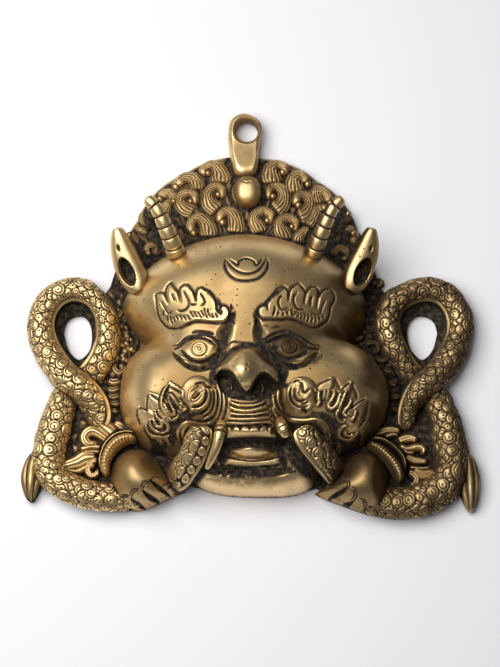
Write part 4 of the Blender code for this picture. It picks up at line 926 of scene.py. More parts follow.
def lock_relief(share, place):
    """Flowing strands along a lock, cut deep between, which run together towards its curl."""
    wander = 0.14 * np.sin(4.0 * share) + 0.05 * np.sin(17.0 * share + 5.0 * place)
    wave = np.abs(np.cos(np.pi * LOCK_STRANDS * (place + wander))) ** 0.6
    keep = smooth_step((0.9 - share) / 0.15)
    cut = smooth_step((0.72 - wave) / 0.5) * keep
    return -0.9 * cut, np.maximum(cut, np.abs(place) ** 9)


def lock_foot(x, y):
    """Each lock grows from a little below the plate."""
    return crest_height(x, y) - LOCK_SINK


def hair():
    """Every lock of the crest. Each rises from its root to its curl, and its eye ends in a small ball."""
    forms = []
    for lock in LOCKS:
        line = smooth_line(lock, 9)
        share = np.linspace(0.0, 1.0, len(line))
        rise = np.minimum(LOCK_RISE * (0.7 + 0.35 * share), 1.5 * line[:, 2] + 1.2)
        forms.append(ribbon(line[:, :2], line[:, 2] + LOCK_GROW, rise, lock_foot, lock_relief, across=50))
        x, y, width = lock[-1]
        knob = width + KNOB_GROW
        forms.append(ball((x, y, crest_height(x, y) + KNOB_GROW), (knob, knob, KNOB_RISE), rows=12, sides=20))
    return joined(forms)


def ball(middle, radii, rows, sides):
    """A closed ellipsoid."""
    tilt = np.linspace(0.02, np.pi - 0.02, rows)
    turn = all_round(sides)
    ring = np.stack([np.outer(np.sin(tilt), np.cos(turn)), np.outer(np.sin(tilt), np.sin(turn)),
                     np.repeat(np.cos(tilt)[:, None], sides, axis=1)], axis=-1)
    return closed_body(np.asarray(middle) + ring * np.asarray(radii), 0.0)


def joined(forms):
    """Several closed bodies as the points, faces and darkness of one piece."""
    points, corners, dark, count = [], {}, [], 0
    for body, faces, shade in forms:
        for group in faces:
            corners.setdefault(group.shape[1], []).append(group + count)
        points.append(body)
        dark.append(np.broadcast_to(shade, len(body)))
        count += len(body)
    faces = [np.concatenate(groups) for groups in corners.values()]
    return np.concatenate(points), faces, np.concatenate(dark)


new_piece("hair", *hair())


# Back plate
# A plate some 5 mm thick joins the crest, the head and the coils. It is left dark and rough, with rows of
# small bubbles beside the cheeks. Its scalloped top edge is rubbed bright.
PLATE_HALF = (
    (0, 60), (64, 49), (72, 30), (76, 18), (80, 12), (79.5, -10), (81, -28), (88, -40), (106, -43),
    (110, -56), (116, -80), (113, -95), (98, -106), (78, -108), (65, -107.5), (55, -105.5), (45, -101),
    (35, -96), (0, -96),
)
PLATE_THICKNESS = 4.5
PLATE_SPOKES = 900
PLATE_RINGS = 40
CREST_SPAN = (-12.0, 192.0)
COIL_HOLE = (
    (105.2, -8.5), (103.5, -2.5), (99.3, 0.6), (94, 0.8), (90, -3), (88.6, -9.5), (89.6, -17.5),
    (93, -22.6), (97, -24.2), (102.2, -18.5),
)
COIL_PLATE_WIDTH = 15.5
# Each curl is its middle line and its half width. The lumps are round.
CHEEK_CURLS = (
    (((-77.1, 2), (-74.8, -0.3), (-72.6, 1.4), (-72.1, 4.3)), 1.9),
    (((-77.5, -8.3), (-74.7, -10.6), (-71.9, -8.9)), 1.9),
    (((-76.5, -27.5), (-75.6, -30.9), (-73.3, -32.4), (-71.1, -30.9), (-70.6, -27.5)), 2.2),
    (((-70.9, -24.1), (-69, -25.8), (-66.7, -25), (-65.4, -23)), 1.6),
    (((-79.7, -36), (-77.2, -37.7), (-74.4, -37.5), (-72.2, -36)), 2.7),
    (((-79.9, -40.6), (-77.1, -42.3), (-72.1, -40.6)), 2.3),
    (((-79.8, -44.5), (-77, -46.2), (-74.3, -45.7), (-72.1, -44.5)), 2.2),
    (((-79.2, -48.5), (-76.4, -49.9), (-73.7, -49.6), (-72, -48.5)), 2.2),
    (((-78.1, -52.4), (-75.8, -54.1), (-73, -53.6)), 1.9),
    (((55.7, -9.8), (57.9, -12.4), (61.3, -12.7), (64.1, -11.3)), 1.8),
    (((64.6, -17.8), (66.8, -15.6), (70.2, -16.1), (71.2, -19), (69.5, -21.3)), 2),
    (((70.1, -23.5), (72.3, -25.8), (75.6, -25.3), (76.8, -21.8), (74.6, -19.3), (72.3, -20.1)), 2.1),
    (((73.9, -29.4), (76.9, -31.6), (79.6, -30.2)), 2.6), (((76.2, -36.8), (79.3, -39), (82, -37.8)), 2.6),
    (((78, -44.2), (80.9, -46.4), (83.5, -45.2)), 2.5),
    (((78.2, -51.5), (80.8, -53.7), (83.2, -52.4)), 2.4),
)
CHEEK_LUMPS = (
    (-70.1, -21.8, 2.6), (-66.8, -18.6, 2.4), (-72, -5.3, 2), (-71, -1.2, 1.8), (-73.1, -12.6, 2.1),
    (-70.3, -9.4, 1.8), (-71.8, -16.4, 2), (-68, -13.6, 1.7), (-78.6, -31.5, 1.8), (-82.4, -37.5, 1.7),
    (71.8, 19.4, 2.7), (70.3, 13.4, 1.9), (74.4, 9.9, 2), (70.6, 5.7, 2.1), (69, -0.5, 2), (68.6, -7, 1.9),
    (73.6, 3.4, 1.7), (72.4, -4.4, 1.7), (71.6, -10.8, 1.8),
)
BUBBLE_LINES = (
    ((64, 20), (70, 8), (72, -6), (74, -18), (80, -42), (81, -54)),
    ((67, 14), (68, 2), (68, -10), (71, -24), (75, -36), (77, -48)),
)
BUBBLE_PITCH = 4.6
BUBBLE_RADIUS = 2.3
BUBBLE_RISE = 4.2
# How far the plate runs in under the head's rim
PLATE_LAP = 2.0
# The plate's edge is rounded over this width and drops by this much.
PLATE_EDGE = 1.6
PLATE_EDGE_DROP = 1.4
CREST_STEPS = 700
COIL_SPOKES = 96
PLATE_STRANDS = 27.0
STRAND_RISE = 1.3
LUMP_RISE = 2.6
CURL_HEIGHT = 5.4
LUMP_HEIGHT = 2.9


def radial_reach(loop, middle, turn):
    """How far a closed loop of points is from its middle, for each direction."""
    offset = np.asarray(loop, float) - middle
    angle = np.arctan2(offset[:, 1], offset[:, 0])
    order = np.argsort(angle)
    return np.interp(turn, angle[order], np.hypot(*offset[order].T), period=2.0 * np.pi)


def back_plate():
    """The plate as rings round the head, from inside the head's rim out to the outline and down its edge.

    It reaches as far as its traced outline, or the scalloped crest where that lies further out. It is
    rough, with wavy strands over the crest, and is left dark but for its highest lumps.
    """
    turn = all_round(PLATE_SPOKES)
    inner = outline_reach(lambda x, y: smooth_head(np.abs(x), y), turn) - PLATE_LAP
    half = np.array(PLATE_HALF, float)
    loop = np.concatenate([half, half[-2:0:-1] * (-1.0, 1.0)])
    outer = radial_reach(loop, HEAD_MIDDLE, turn)
    arc = np.radians(np.linspace(*CREST_SPAN, CREST_STEPS))
    radius = CREST_RADIUS + CREST_LOBE * np.abs(np.sin(0.5 * CREST_LOBES * (arc + 0.2))) ** 0.7
    crest = np.column_stack([radius * np.cos(arc), CREST_MIDDLE + radius * np.sin(arc)])
    crest_turn = np.arctan2(crest[:, 1] - HEAD_MIDDLE[1], crest[:, 0])
    crest_reach = np.hypot(crest[:, 0], crest[:, 1] - HEAD_MIDDLE[1])
    crest_reach = np.interp(turn, crest_turn, crest_reach, left=0.0, right=0.0)
    in_crest = crest_reach > outer
    outer = np.maximum(outer, crest_reach)
    share = np.linspace(0.0, 1.0, PLATE_RINGS)[:, None]
    reach = inner + (outer - inner) * share
    x = HEAD_MIDDLE[0] + reach * np.cos(turn)
    y = HEAD_MIDDLE[1] + reach * np.sin(turn)
    high = smooth_step((CREST_RADIUS + 1.0 - np.hypot(x, y - CREST_MIDDLE)) / 2.0)
    high *= smooth_step((y + 6.0) / 8.0)
    high = np.maximum(high, in_crest & (y > 20.0))
    z = PLATE_THICKNESS + (crest_height(x, y) - PLATE_THICKNESS) * high
    plan = np.column_stack([x.ravel(), y.ravel()])
    lumps = speckled(plan, 4.2, 21).reshape(x.shape)
    round_crest = np.arctan2(y - CREST_MIDDLE, x)
    out_crest = np.hypot(x, y - CREST_MIDDLE)
    wave = 1.3 * np.sin(out_crest / 3.6 + 5.0 * round_crest) + 2.0 * lumps
    strands = np.abs(np.cos(PLATE_STRANDS * round_crest + wave))
    free = smooth_step((reach - inner - 2.0) / 2.0) * smooth_step((outer - reach) / 3.0)
    z = z + free * np.where(high > 0.5, STRAND_RISE * (strands - 0.5), LUMP_RISE * (lumps - 0.4))
    shown = np.where(high > 0.5, 0.75 * smooth_step(1.6 * strands - 0.6), smooth_step(2.0 * lumps - 0.9))
    shown *= free
    for side in (-1.0, 1.0):
        for row, line in enumerate(BUBBLE_LINES):
            line = smooth_line(line, 8)
            steps = lengths_along(line)
            places = np.arange(0.5 * BUBBLE_PITCH * (row % 2), steps[-1], BUBBLE_PITCH)
            for k, place in enumerate(places):
                across, up = (np.interp(place, steps, line[:, axis]) for axis in (0, 1))
                size = BUBBLE_RADIUS * (1.0 + 0.15 * np.sin(9.0 * k + row))
                out = np.hypot(x - side * across, y - up) / size
                z = np.maximum(z, PLATE_THICKNESS + BUBBLE_RISE * dome(out))
    z = z - PLATE_EDGE_DROP * (1.0 - dome(1.0 - np.clip((outer - reach) / PLATE_EDGE, 0.0, 1.0)))
    flange, ground = np.full(len(turn), 0.35 * z[-1].min()), np.zeros(len(turn))
    below = [np.column_stack(ring)
             for ring in ((x[-1], y[-1], flange), (x[-1], y[-1], ground), (x[0], y[0], ground))]
    rings = np.concatenate([np.stack([x, y, z], axis=-1), below])
    rows = len(rings)
    corners = grid_corners(rows + 1, PLATE_SPOKES, closed=True) % (rows * PLATE_SPOKES)
    # Painted shade: fewer lumps and strands are bright towards the right, away from the light.
    shown = np.clip(shown * (1.0 - 0.45 * smooth_step((x - 35.0) / 25.0)), 0.0, 1.0)
    dark = (1.0 - 0.8 * shown) * (1.0 - smooth_step(1.0 - (outer - reach) / 2.4) * in_crest)
    # Painted light: less crust on the lower left of the plate, towards the light.
    dark *= 1.0 - 0.6 * smooth_step((-60.0 - x) / 8.0) * smooth_step((22.0 - y) / 10.0)
    dark = np.concatenate([dark, np.full((rows - PLATE_RINGS, PLATE_SPOKES), 0.3)]).ravel()
    return leaned(rings.reshape(-1, 3)), [corners], dark


def coil_plate(side):
    """The plate under one coil, as a flat ring round the hole that it leaves."""
    hole = closed_line(COIL_HOLE, 4)
    middle = hole.mean(axis=0)
    turn = all_round(COIL_SPOKES)
    inner = radial_reach(hole, middle, turn)
    outer = inner + COIL_PLATE_WIDTH
    low, high = 0.1, PLATE_THICKNESS - 0.3
    rings = [np.column_stack([middle[0] + reach * np.cos(turn), middle[1] + reach * np.sin(turn),
                              np.full(COIL_SPOKES, z)])
             for reach, z in ((inner, low), (outer, low), (outer, high), (inner, high))]
    count = len(rings) * COIL_SPOKES
    corners = grid_corners(len(rings) + 1, COIL_SPOKES, closed=True) % count
    return mirrored((np.concatenate(rings), [corners], np.full(count, 0.9)), side)


def curl_relief(share, place):
    """One line cut along a curl."""
    cut = smooth_step((0.34 - np.abs(place + 0.1)) / 0.3)
    return -1.0 * cut, np.maximum(0.85 * cut, np.abs(place) ** 8)


def cheek_curls():
    """The small curls and lumps beside each cheek."""
    forms = []
    for line, half_width in CHEEK_CURLS:
        line = smooth_line(line, 12)
        width = half_width * np.sin(np.linspace(0.7, np.pi - 0.7, len(line)))
        rise = np.full(len(line), CURL_HEIGHT)
        forms.append(ribbon(line, width, rise, flat(PLATE_THICKNESS), curl_relief, across=24))
    for across, up, radius in CHEEK_LUMPS:
        radii = (1.4 * radius, 1.2 * radius, LUMP_HEIGHT)
        points, faces, _ = ball((across, up, PLATE_THICKNESS + 1.0), radii, rows=15, sides=28)
        lumps = speckled(points[:, :2], 1.9, 41)
        points[:, 2] -= 1.5 * (1.0 - lumps)
        forms.append((points, faces, 0.85 * smooth_step(1.5 - 2.4 * lumps)))
    return joined(forms)


new_piece("back_plate", *joined([back_plate(), coil_plate(-1.0), coil_plate(1.0)]))
new_piece("cheek_curls", *cheek_curls())


# Serpents
# Each serpent leaves the hand, coils up beside the head and crosses over itself. It is covered with round
# scales, each a disc with a ring and a dot punched in it, and it has a smooth rim along the inside of its
# coil.
SERPENT = (
    (60, -101, 6, 7.2, 7.5), (74, -103.5, 6, 8, 9), (82, -103.8, 6, 8, 9.5), (90, -102.5, 6, 8.2, 9.8),
    (97.5, -99.8, 6, 8.4, 10), (104.5, -96, 6, 8.5, 10), (109, -90.8, 6, 8.5, 10), (111.2, -85, 6, 8.6, 10),
    (111.3, -78, 6, 8.6, 10), (110.1, -71, 6, 8.5, 10), (108.4, -64, 6, 8.4, 10), (106.4, -56, 6, 8, 9.8),
    (103, -47.2, 5, 7.6, 9), (96.5, -38.5, 4, 7.2, 7), (88, -30.5, 4.5, 6.8, 8), (82, -21, 5.5, 6.6, 9.2),
    (78.6, -10, 6, 6.4, 9.8), (80, 2, 6, 6.4, 10), (87.5, 11, 6, 6.4, 10), (99, 14.7, 6, 6.6, 10),
    (109.5, 11, 6, 6.9, 10), (116, 1, 6, 7.1, 10), (116.5, -11, 6.2, 7.2, 10.2), (111.5, -23.5, 7, 7.4, 11),
    (103.4, -34.3, 8.5, 7.5, 11.5), (95, -41.5, 9, 7.4, 11), (88.5, -48.5, 8, 6.8, 9.5),
    (84.6, -57, 6, 6.4, 7.5), (83.2, -65, 5, 4.8, 5.8),
)
# The necks are traced where they lie, so these two aren't leaned.
NECK_LEFT = (
    (-43.5, -97.5, 10, 5, 6), (-39.2, -94.2, 19, 6.8, 8), (-35.2, -89.4, 26, 7, 8),
    (-31.4, -84.2, 31.5, 7.2, 8), (-28.4, -78.6, 36.5, 7.2, 8), (-26.4, -73, 40, 6.6, 8),
    (-25.6, -67.8, 41, 4.8, 7),
)
NECK_RIGHT = (
    (48.6, -93.4, 12, 5, 6), (46.4, -91.9, 20, 6.2, 8), (44.2, -90.2, 27, 6.5, 8),
    (40.6, -86.9, 33.5, 6.6, 8), (36.4, -82.5, 37.5, 6.6, 8), (32.1, -77.8, 40.5, 6.5, 8),
    (28.6, -73.4, 42.5, 6, 8), (26.4, -69, 42.5, 4.6, 7),
)
CROSSING = 13.0
SCALE_PITCH = 6.7
SCALE_ROW = 3.7
SCALE_RADIUS = 3.75
# How far a scale strays along and across, and its least size and spread as shares of the radius
SCALE_STRAY = (1.6, 1.0)
SCALE_SIZES = (0.86, 0.26)
# The ring and the dot punched in each scale: place, half width and depth
SCALE_RING = (0.56, 0.15, 0.45)
SCALE_DOT = (0.0, 0.21, 0.5)
# Multipliers of the two chances of each scale: along, across and of the sine
CHANCES = ((12.9898, 78.233, 43758.5453), (39.346, 11.135, 24634.6345))
# The inner edges, in millimetres from the edge: the rim's place, half width and rise, each groove's place
# and half width, their depth, and the end of the dark wall with its softness
COIL_EDGE = ((8.8, 1.3, 0.9), ((10.8, 0.8), (6.9, 0.9)), 0.6, (6.4, 1.4))
RIGHT_EDGE = ((9.8, 1.2, 1.0), ((11.5, 0.7), (8.2, 0.8)), 0.6, (8.0, 1.0))
LEFT_EDGE = ((9.3, 1.2, 1.0), ((10.5, 0.6), (7.9, 0.8), (15.2, 0.6)), 0.5, (7.7, 1.0))
# Where the scales begin, from the inner edge below and above the crossing, and from the outer edge
COIL_SCALES = (6.6, 11.2, 5.6)
NECK_SCALES = {1.0: 11.8, -1.0: 15.4}
# The oval plates of the left neck: how far apart, how far in, and their radius
NECK_PLATES = (5.0, 12.8, 2.3)
SERPENT_STEP = 0.40
NECK_STEP = 0.36


def chance(number, row, seed, multipliers):
    """A value from 0 to 1 for each scale that looks random: the fraction of a large multiple of a sine."""
    along, across, large = multipliers
    value = np.sin(along * number + across * row + seed) * large
    return value - np.floor(value)


def scale_relief(along, across, seed):
    """Round scales in staggered, uneven rows, each with a ring and a dot punched in it.

    The places are in millimetres along the body and across it. Where scales overlap, the one with the
    higher chance lies on top. The answers are the rise of the surface and its darkness.
    """
    row = np.round(across / SCALE_ROW)
    level = np.full(along.shape, -1.0)
    nearest = np.full(along.shape, 9.0)
    bearing = np.zeros(along.shape)
    for row_step in (-1, 0, 1):
        this_row = row + row_step
        stagger = 0.5 * SCALE_PITCH * (this_row % 2)
        cell = np.round((along - stagger) / SCALE_PITCH)
        for step in (-1, 0, 1):
            number = cell + step
            order, other = (chance(number, this_row, seed, multipliers) for multipliers in CHANCES)
            a = along - (number * SCALE_PITCH + stagger + SCALE_STRAY[0] * (order - 0.5))
            b = across - (this_row * SCALE_ROW + SCALE_STRAY[1] * (other - 0.5))
            away = np.hypot(a, b) / (SCALE_RADIUS * (SCALE_SIZES[0] + SCALE_SIZES[1] * other))
            over = (away < 1.0) & (order > level)
            level = np.where(over, order, level)
            bearing = np.where(over, np.arctan2(b, a) + 6.28 * other, bearing)
            nearest = np.where(over, away, nearest)
    on_disc = level > 0.0
    disc = smooth_step((1.0 - nearest) / 0.24) * on_disc
    punched = [bump((nearest - place) / half) for place, half, _ in (SCALE_RING, SCALE_DOT)]
    ring = punched[0] * smooth_step(1.3 + 1.3 * np.sin(bearing)) * on_disc
    dot = punched[1] * (level > 0.12)
    rise = disc * (0.8 + 0.7 * np.clip(level, 0.0, 1.0) - 0.35 * nearest ** 2)
    rise = rise - SCALE_RING[2] * ring - SCALE_DOT[2] * dot
    return rise, np.maximum(1.0 - disc, np.maximum(0.85 * ring, 0.9 * dot))


def edged(rise, dark, from_inner, edge, keep=1.0):
    """The relief of a serpent with its inner edge: a plain rim between grooves, which are kept by a share,
    and a wall."""
    (place, half_width, height), grooves, depth, (wall_end, softness) = edge
    rim = keep * bump((from_inner - place) / half_width)
    cuts = keep * np.max([bump((from_inner - groove) / half) for groove, half in grooves], axis=0)
    wall = smooth_step((wall_end - from_inner) / softness)
    dark = np.maximum(dark, np.maximum(0.95 * cuts, 0.9 * wall))
    return rise + height * rim - depth * cuts, dark * (1.0 - 0.9 * rim)


def strand(forms, spacing, relief, fullness=2.2, top=70, under=7):
    """A closed strand along (across, up, height, half width, half depth) forms, upright all the way, with a
    relief.

    Its section is a superellipse. The relief is a function of the length along, the length across from the
    middle line, the half breadth of the back, all in millimetres, and of the number of the form, and it
    moves the surface along its normal.
    """
    line = smooth_line(forms, 24)
    begins = lengths_along(line[:, :2])
    count = int(begins[-1] / spacing)
    length = np.linspace(0.0, begins[-1], count)
    line = np.stack([np.interp(length, begins, column) for column in line.T], axis=-1)
    index = np.interp(length, begins, np.linspace(0.0, len(forms) - 1.0, len(begins)))
    centre, half_width, half_depth = line[:, :3], line[:, 3:4], line[:, 4:5]
    along = np.gradient(centre, axis=0)
    side = np.stack([along[:, 1], -along[:, 0], np.zeros(count)], axis=-1)
    side /= np.linalg.norm(side, axis=1)[:, None]
    turn = np.concatenate([np.linspace(-0.12 * np.pi, 1.12 * np.pi, top),
                           np.linspace(1.2 * np.pi, 1.8 * np.pi, under)])
    cosine, sine = np.cos(turn), np.sin(turn)
    ends = round_ends(length / length[-1], length[-1], 3.0)[:, None]
    flat_x = np.sign(cosine) * np.abs(cosine) ** (2.0 / fullness) * half_width * ends
    flat_z = np.sign(sine) * np.abs(sine) ** (2.0 / fullness) * half_depth * ends
    outward_x = np.sign(cosine) * np.abs(cosine) ** (2.0 - 2.0 / fullness) / half_width
    outward_z = np.sign(sine) * np.abs(sine) ** (2.0 - 2.0 / fullness) / half_depth
    size = np.hypot(outward_x, outward_z) + 1e-9
    edge = np.hypot(np.gradient(flat_x, axis=1), np.gradient(flat_z, axis=1))
    across = np.cumsum(edge, axis=1)
    across -= 0.5 * (across[:, :1] + across[:, top - 1:top])
    half_back = np.abs(across[:, :1]) * np.ones(len(turn))
    rise, dark = relief(length[:, None] * np.ones(len(turn)), across, half_back, index[:, None])
    on_top = np.zeros(len(turn))
    on_top[:top] = smooth_step(np.minimum(np.arange(top), np.arange(top)[::-1]) / 4.0)
    flat_x = flat_x + rise * on_top * outward_x / size
    flat_z = flat_z + rise * on_top * outward_z / size
    rings = centre[:, None] + flat_x[..., None] * side[:, None]
    rings[..., 2] += flat_z
    return closed_body(rings, dark * on_top + 0.35 * (1.0 - on_top))


def serpent(side, seed):
    """One coil with its scales. The outer wall is plain, and past the crossing a thin rim edges the coil's
    inside."""

    def relief(along, across, half_back, index):
        rise, dark = scale_relief(along, across, seed)
        inner = np.where(index > CROSSING, -across, across)
        from_inner, from_outer = half_back - inner, half_back + inner
        upper = smooth_step((index - CROSSING) / 0.6)
        below, above, outer_start = COIL_SCALES
        start = below + (above - below) * upper
        scaled = smooth_step((from_inner - start) / 0.7) * smooth_step((from_outer - outer_start) / 0.7)
        return edged(rise * scaled, dark * scaled, from_inner, COIL_EDGE, keep=upper)

    return mirrored(strand(SERPENT, SERPENT_STEP, relief, top=76), side)


def neck(forms, side, seed):
    """The head end of a serpent, from the fist up to the mouth.

    The right one has a thin plain band along its inner edge. The left one has a row of oval plates there.
    """

    def relief(along, across, half_back, index):
        rise, dark = scale_relief(0.9 * along, across, seed)
        from_inner = half_back - across * side
        scaled = smooth_step((from_inner - NECK_SCALES[side]) / 0.7)
        rise, dark = rise * scaled, dark * scaled
        if side > 0:
            return edged(rise, dark, from_inner, RIGHT_EDGE)
        pitch, place, radius = NECK_PLATES
        plate = np.hypot(along % pitch - 0.5 * pitch, from_inner - place) / radius
        plates, dots = smooth_step((1.0 - plate) / 0.25), bump(plate / 0.4)
        on_plates = smooth_step((from_inner - 10.5) / 0.3) * (1.0 - scaled)
        rise += (1.1 * plates - 0.5 * dots) * on_plates
        dark = np.maximum(dark, (1.0 - plates + 0.8 * dots) * on_plates)
        return edged(rise, dark, from_inner, LEFT_EDGE)

    return strand(forms, NECK_STEP, relief, fullness=2.6, top=64)


new_piece("serpent_left", *serpent(-1.0, 1.7), floor=0.08)
new_piece("serpent_right", *serpent(1.0, 2.7), floor=0.08)
new_piece("serpent_neck_left", *neck(NECK_LEFT, -1.0, 4.1))
new_piece("serpent_neck_right", *neck(NECK_RIGHT, 1.0, 5.1))


# Tail fins
# A short fluted fin stands out from the bend of each coil.
FIN = (
    (118, -76.5, 5, 1.8, 5), (119.8, -83, 5, 4.6, 7), (120.6, -90, 4.5, 6, 7), (120.9, -97, 4.2, 5.4, 6.5),
    (121.2, -103, 3.8, 3.4, 5), (121, -107.6, 3.2, 1, 3),
)
FIN_FLUTES = 3
FIN_STEP = 0.5


def fin(side):
    """One fin, with deep flutes along it."""

    def relief(along, across, half_back, index):
        wave = np.abs(np.cos(0.5 * np.pi * FIN_FLUTES * across / np.maximum(0.62 * half_back, 1.0)))
        return 1.3 * (wave - 0.7), smooth_step((0.5 - wave) / 0.4)

    return mirrored(strand(FIN, FIN_STEP, relief, top=44), side)


new_piece("tail_fins", *joined([fin(-1.0), fin(1.0)]))


# Hands
# Each fist holds its serpent: a smooth back that runs on into four flat fingers, with dark slits between
# them and fine double lines over the knuckles. A fluted bangle and the curling leaves of the sleeve lie
# behind it. Each hand is traced where it lies: the middle of its back, its outline, the slits and the
# knuckle lines.
HANDS = (
    ((-61, -90.5),
     ((-77.2, -97.7), (-78, -90.1), (-75.8, -82.4), (-70.2, -76.6), (-62.9, -74.7), (-56.2, -76.6),
      (-52.7, -80.5), (-47, -90.4), (-39.4, -97), (-35.7, -98.4), (-41.6, -100.9), (-58.1, -108.4),
      (-66, -108.9), (-71.5, -106.8), (-75.3, -102.6)),
     (((-54.5, -95.2), (-51, -98.1), (-43.8, -102.3)), ((-58.5, -100.7), (-54.7, -103.7), (-49.3, -105.6)),
      ((-64.9, -104.4), (-62.2, -106.6), (-58, -108.5)), ((-72.3, -105), (-69.5, -107), (-66.6, -108.3))),
     (((-54, -95.4), (-52.6, -93.3), (-50.8, -92.9), (-49, -93.7)),
      ((-48.1, -98.2), (-45.7, -96.1), (-44.3, -94.3)), ((-45.6, -99.3), (-43.6, -97.2), (-41.3, -96.1)),
      ((-59.2, -99.8), (-58, -96.9), (-56.2, -96.2), (-54, -96.5)),
      ((-58.4, -100.8), (-57.2, -97.9), (-55.8, -97.2), (-54.2, -97.5)),
      ((-65.8, -103.5), (-64.6, -100.9), (-62.4, -99.9), (-59.5, -100.4)),
      ((-64.7, -104.4), (-63.6, -101.9), (-62, -100.9), (-59.9, -101.4)),
      ((-71.2, -105.4), (-70.2, -103), (-68.3, -102.4), (-66, -103)),
      ((-70.3, -105.7), (-69.4, -103.7), (-67.9, -103.3), (-66.2, -103.9)))),
    ((61.5, -92.5),
     ((35.1, -99.5), (42.2, -95.3), (51, -86), (53.2, -80.6), (56.4, -77.4), (61.6, -76.4), (68.1, -77.6),
      (72.6, -81), (76.1, -87.6), (77.4, -94.5), (76.9, -100.2), (75.3, -104.3), (70.2, -110.5),
      (66.4, -111.6), (61.4, -110.2), (41.7, -103)),
     (((52.2, -99), (48.8, -101.5), (42.1, -104)), ((55.8, -106), (53.2, -107.2), (48.9, -107.5)),
      ((61.1, -110.9), (58.4, -111.2))),
     (((42.9, -103.2), (48.9, -102.4), (52.4, -100.5), (53.5, -97.8), (52.5, -95.1), (49.5, -93.4)),
      ((52, -99.1), (52.3, -97.2), (51.1, -95.7), (48.5, -94.4)),
      ((54.1, -99), (56.6, -100.1), (57.6, -102.3), (57.1, -104.7), (54.7, -106.7), (52, -107.4)),
      ((53.7, -100.1), (55.6, -101), (56.3, -102.5), (55.9, -104.2), (54.1, -105.5)),
      ((59.2, -104.7), (62, -105.6), (63.3, -107.3), (62.5, -109.3), (60.1, -110.8)),
      ((60.5, -106), (62, -107.1), (61.5, -108.7)), ((64.1, -107.9), (67.1, -109.1), (68.8, -110.6)))),
)
HAND_TOP = 31.0
HAND_EDGE = 1.0
HAND_ROUND = 16.5
HAND_MELT = 2.3
HAND_SPOKES = 280
HAND_RINGS = 96
SLIT_HALF = 1.9
SLIT_DEPTH = 4.0
# The slit's soft shoulders: their half width and depth
SLIT_SHOULDER = (3.4, 1.3)
KNUCKLE_HALF = 0.62
KNUCKLE_DEPTH = 0.5
BANGLES = (
    ((-78.6, -91.4), (-79.6, -84.5), (-77.2, -77.6), (-73.1, -73.1), (-67.7, -70.7), (-62.4, -71.2)),
    ((64.4, -73.8), (69.5, -76.2), (74.5, -80.5), (78.7, -85.6), (81.2, -90.8), (81, -94.4)),
)
BANGLE_RIMS = (
    ((-82.1, -87), (-82.1, -80.9), (-79.4, -73.9), (-74.4, -69.1), (-68.4, -67.4), (-62.6, -68.2)),
    ((66.4, -70.6), (73.2, -72), (79.2, -76.3), (83.5, -81.7), (84.8, -88)),
)
BANGLE_FOOT = 12.0
BANGLE_RISE = 12.5
BANGLE_FLUTES = 16
BANGLE_HALF = (1.4, 3.9)
BANGLE_RIM_HALF = 0.9
BANGLE_RIM_DROP = 3.0
# Each leaf is its line, its half width and how many strands it has.
LEAVES = (
    (((-64.9, -66), (-71, -63.2), (-76, -60.7)), 2.4, 2),
    (((-75.3, -68.2), (-79.8, -64.3), (-84.8, -61)), 3.8, 3),
    (((-78.3, -71), (-82.5, -67.7), (-87, -65.4), (-90.5, -66.8), (-91.6, -69.9), (-89.6, -72.7),
      (-86.8, -72.7), (-85.8, -70.7)), 2.4, 3),
    (((-81.8, -75.2), (-87.4, -74.6), (-92.3, -75.5), (-94.5, -74.1)), 1.5, 1),
    (((-81.8, -77.4), (-87.3, -77.2), (-92.8, -77.5)), 1.2, 1),
    (((-84.5, -80.5), (-90.6, -80.5), (-96, -83.2), (-106, -86)), 3.6, 3),
    (((-85, -84), (-90.5, -86), (-95.9, -88.2), (-102, -87)), 1.6, 1),
    (((-83.4, -81), (-87.8, -83.2), (-89.6, -87.1), (-87.7, -90.4), (-84.6, -89.3), (-85, -86.6)), 1.8, 2),
    (((67, -67.7), (74.2, -65.4), (79.7, -65.2), (83.3, -66.6)), 2, 2),
    (((73.6, -69.3), (78.6, -67.7), (82.5, -68.5)), 1.2, 1),
    (((80.8, -71.6), (85.2, -69.9), (89.1, -69.6), (92.3, -71.6)), 2.1, 2),
    (((81.8, -73.2), (86.2, -75.7), (92.8, -74.4), (95.6, -76.3), (93.9, -78.8)), 1.8, 1),
    (((83.5, -75.6), (87.3, -77.9), (91.1, -77.2)), 1.2, 1),
    (((85, -79.6), (90.5, -82.1), (98.2, -82.7)), 1.9, 2),
    (((86.6, -85.7), (93.2, -86.6), (99.8, -86)), 1.1, 1),
    (((88.8, -87.1), (94.2, -89.9), (99.1, -89.9), (104.4, -90.7)), 3.2, 2),
    (((86, -88.5), (89.5, -89.6), (91.4, -92.7), (89.7, -95.4), (87.3, -94.3)), 1.8, 2),
)
LEAF_FOOT = 6.0
LEAF_RISE = 6.0
LEAF_GROW = 1.55
ROD_STEP = 0.35


def rod(line, radius, shade, sides=40, steps=20):
    """A closed round rod through the points: its radius and its darkness are functions of the share of its
    length."""
    line = smooth_line(line, steps)
    begins = lengths_along(line)
    count = max(int(begins[-1] / ROD_STEP), 24)
    length = np.linspace(0.0, begins[-1], count)
    line = np.stack([np.interp(length, begins, column) for column in line.T], axis=-1)
    share = length / length[-1]
    radii = radius(share) * round_ends(share, length[-1], 2.0)
    along = np.gradient(line, axis=0)
    along /= np.linalg.norm(along, axis=1)[:, None]
    side = np.cross(along, (0.0, 0.0, 1.0))
    side /= np.maximum(np.linalg.norm(side, axis=1), 1e-9)[:, None]
    other = np.cross(side, along)
    turn = all_round(sides)
    offset = np.cos(turn)[:, None] * side[:, None] + np.sin(turn)[:, None] * other[:, None]
    return closed_body(line[:, None] + radii[:, None, None] * offset, shade(share)[:, None])


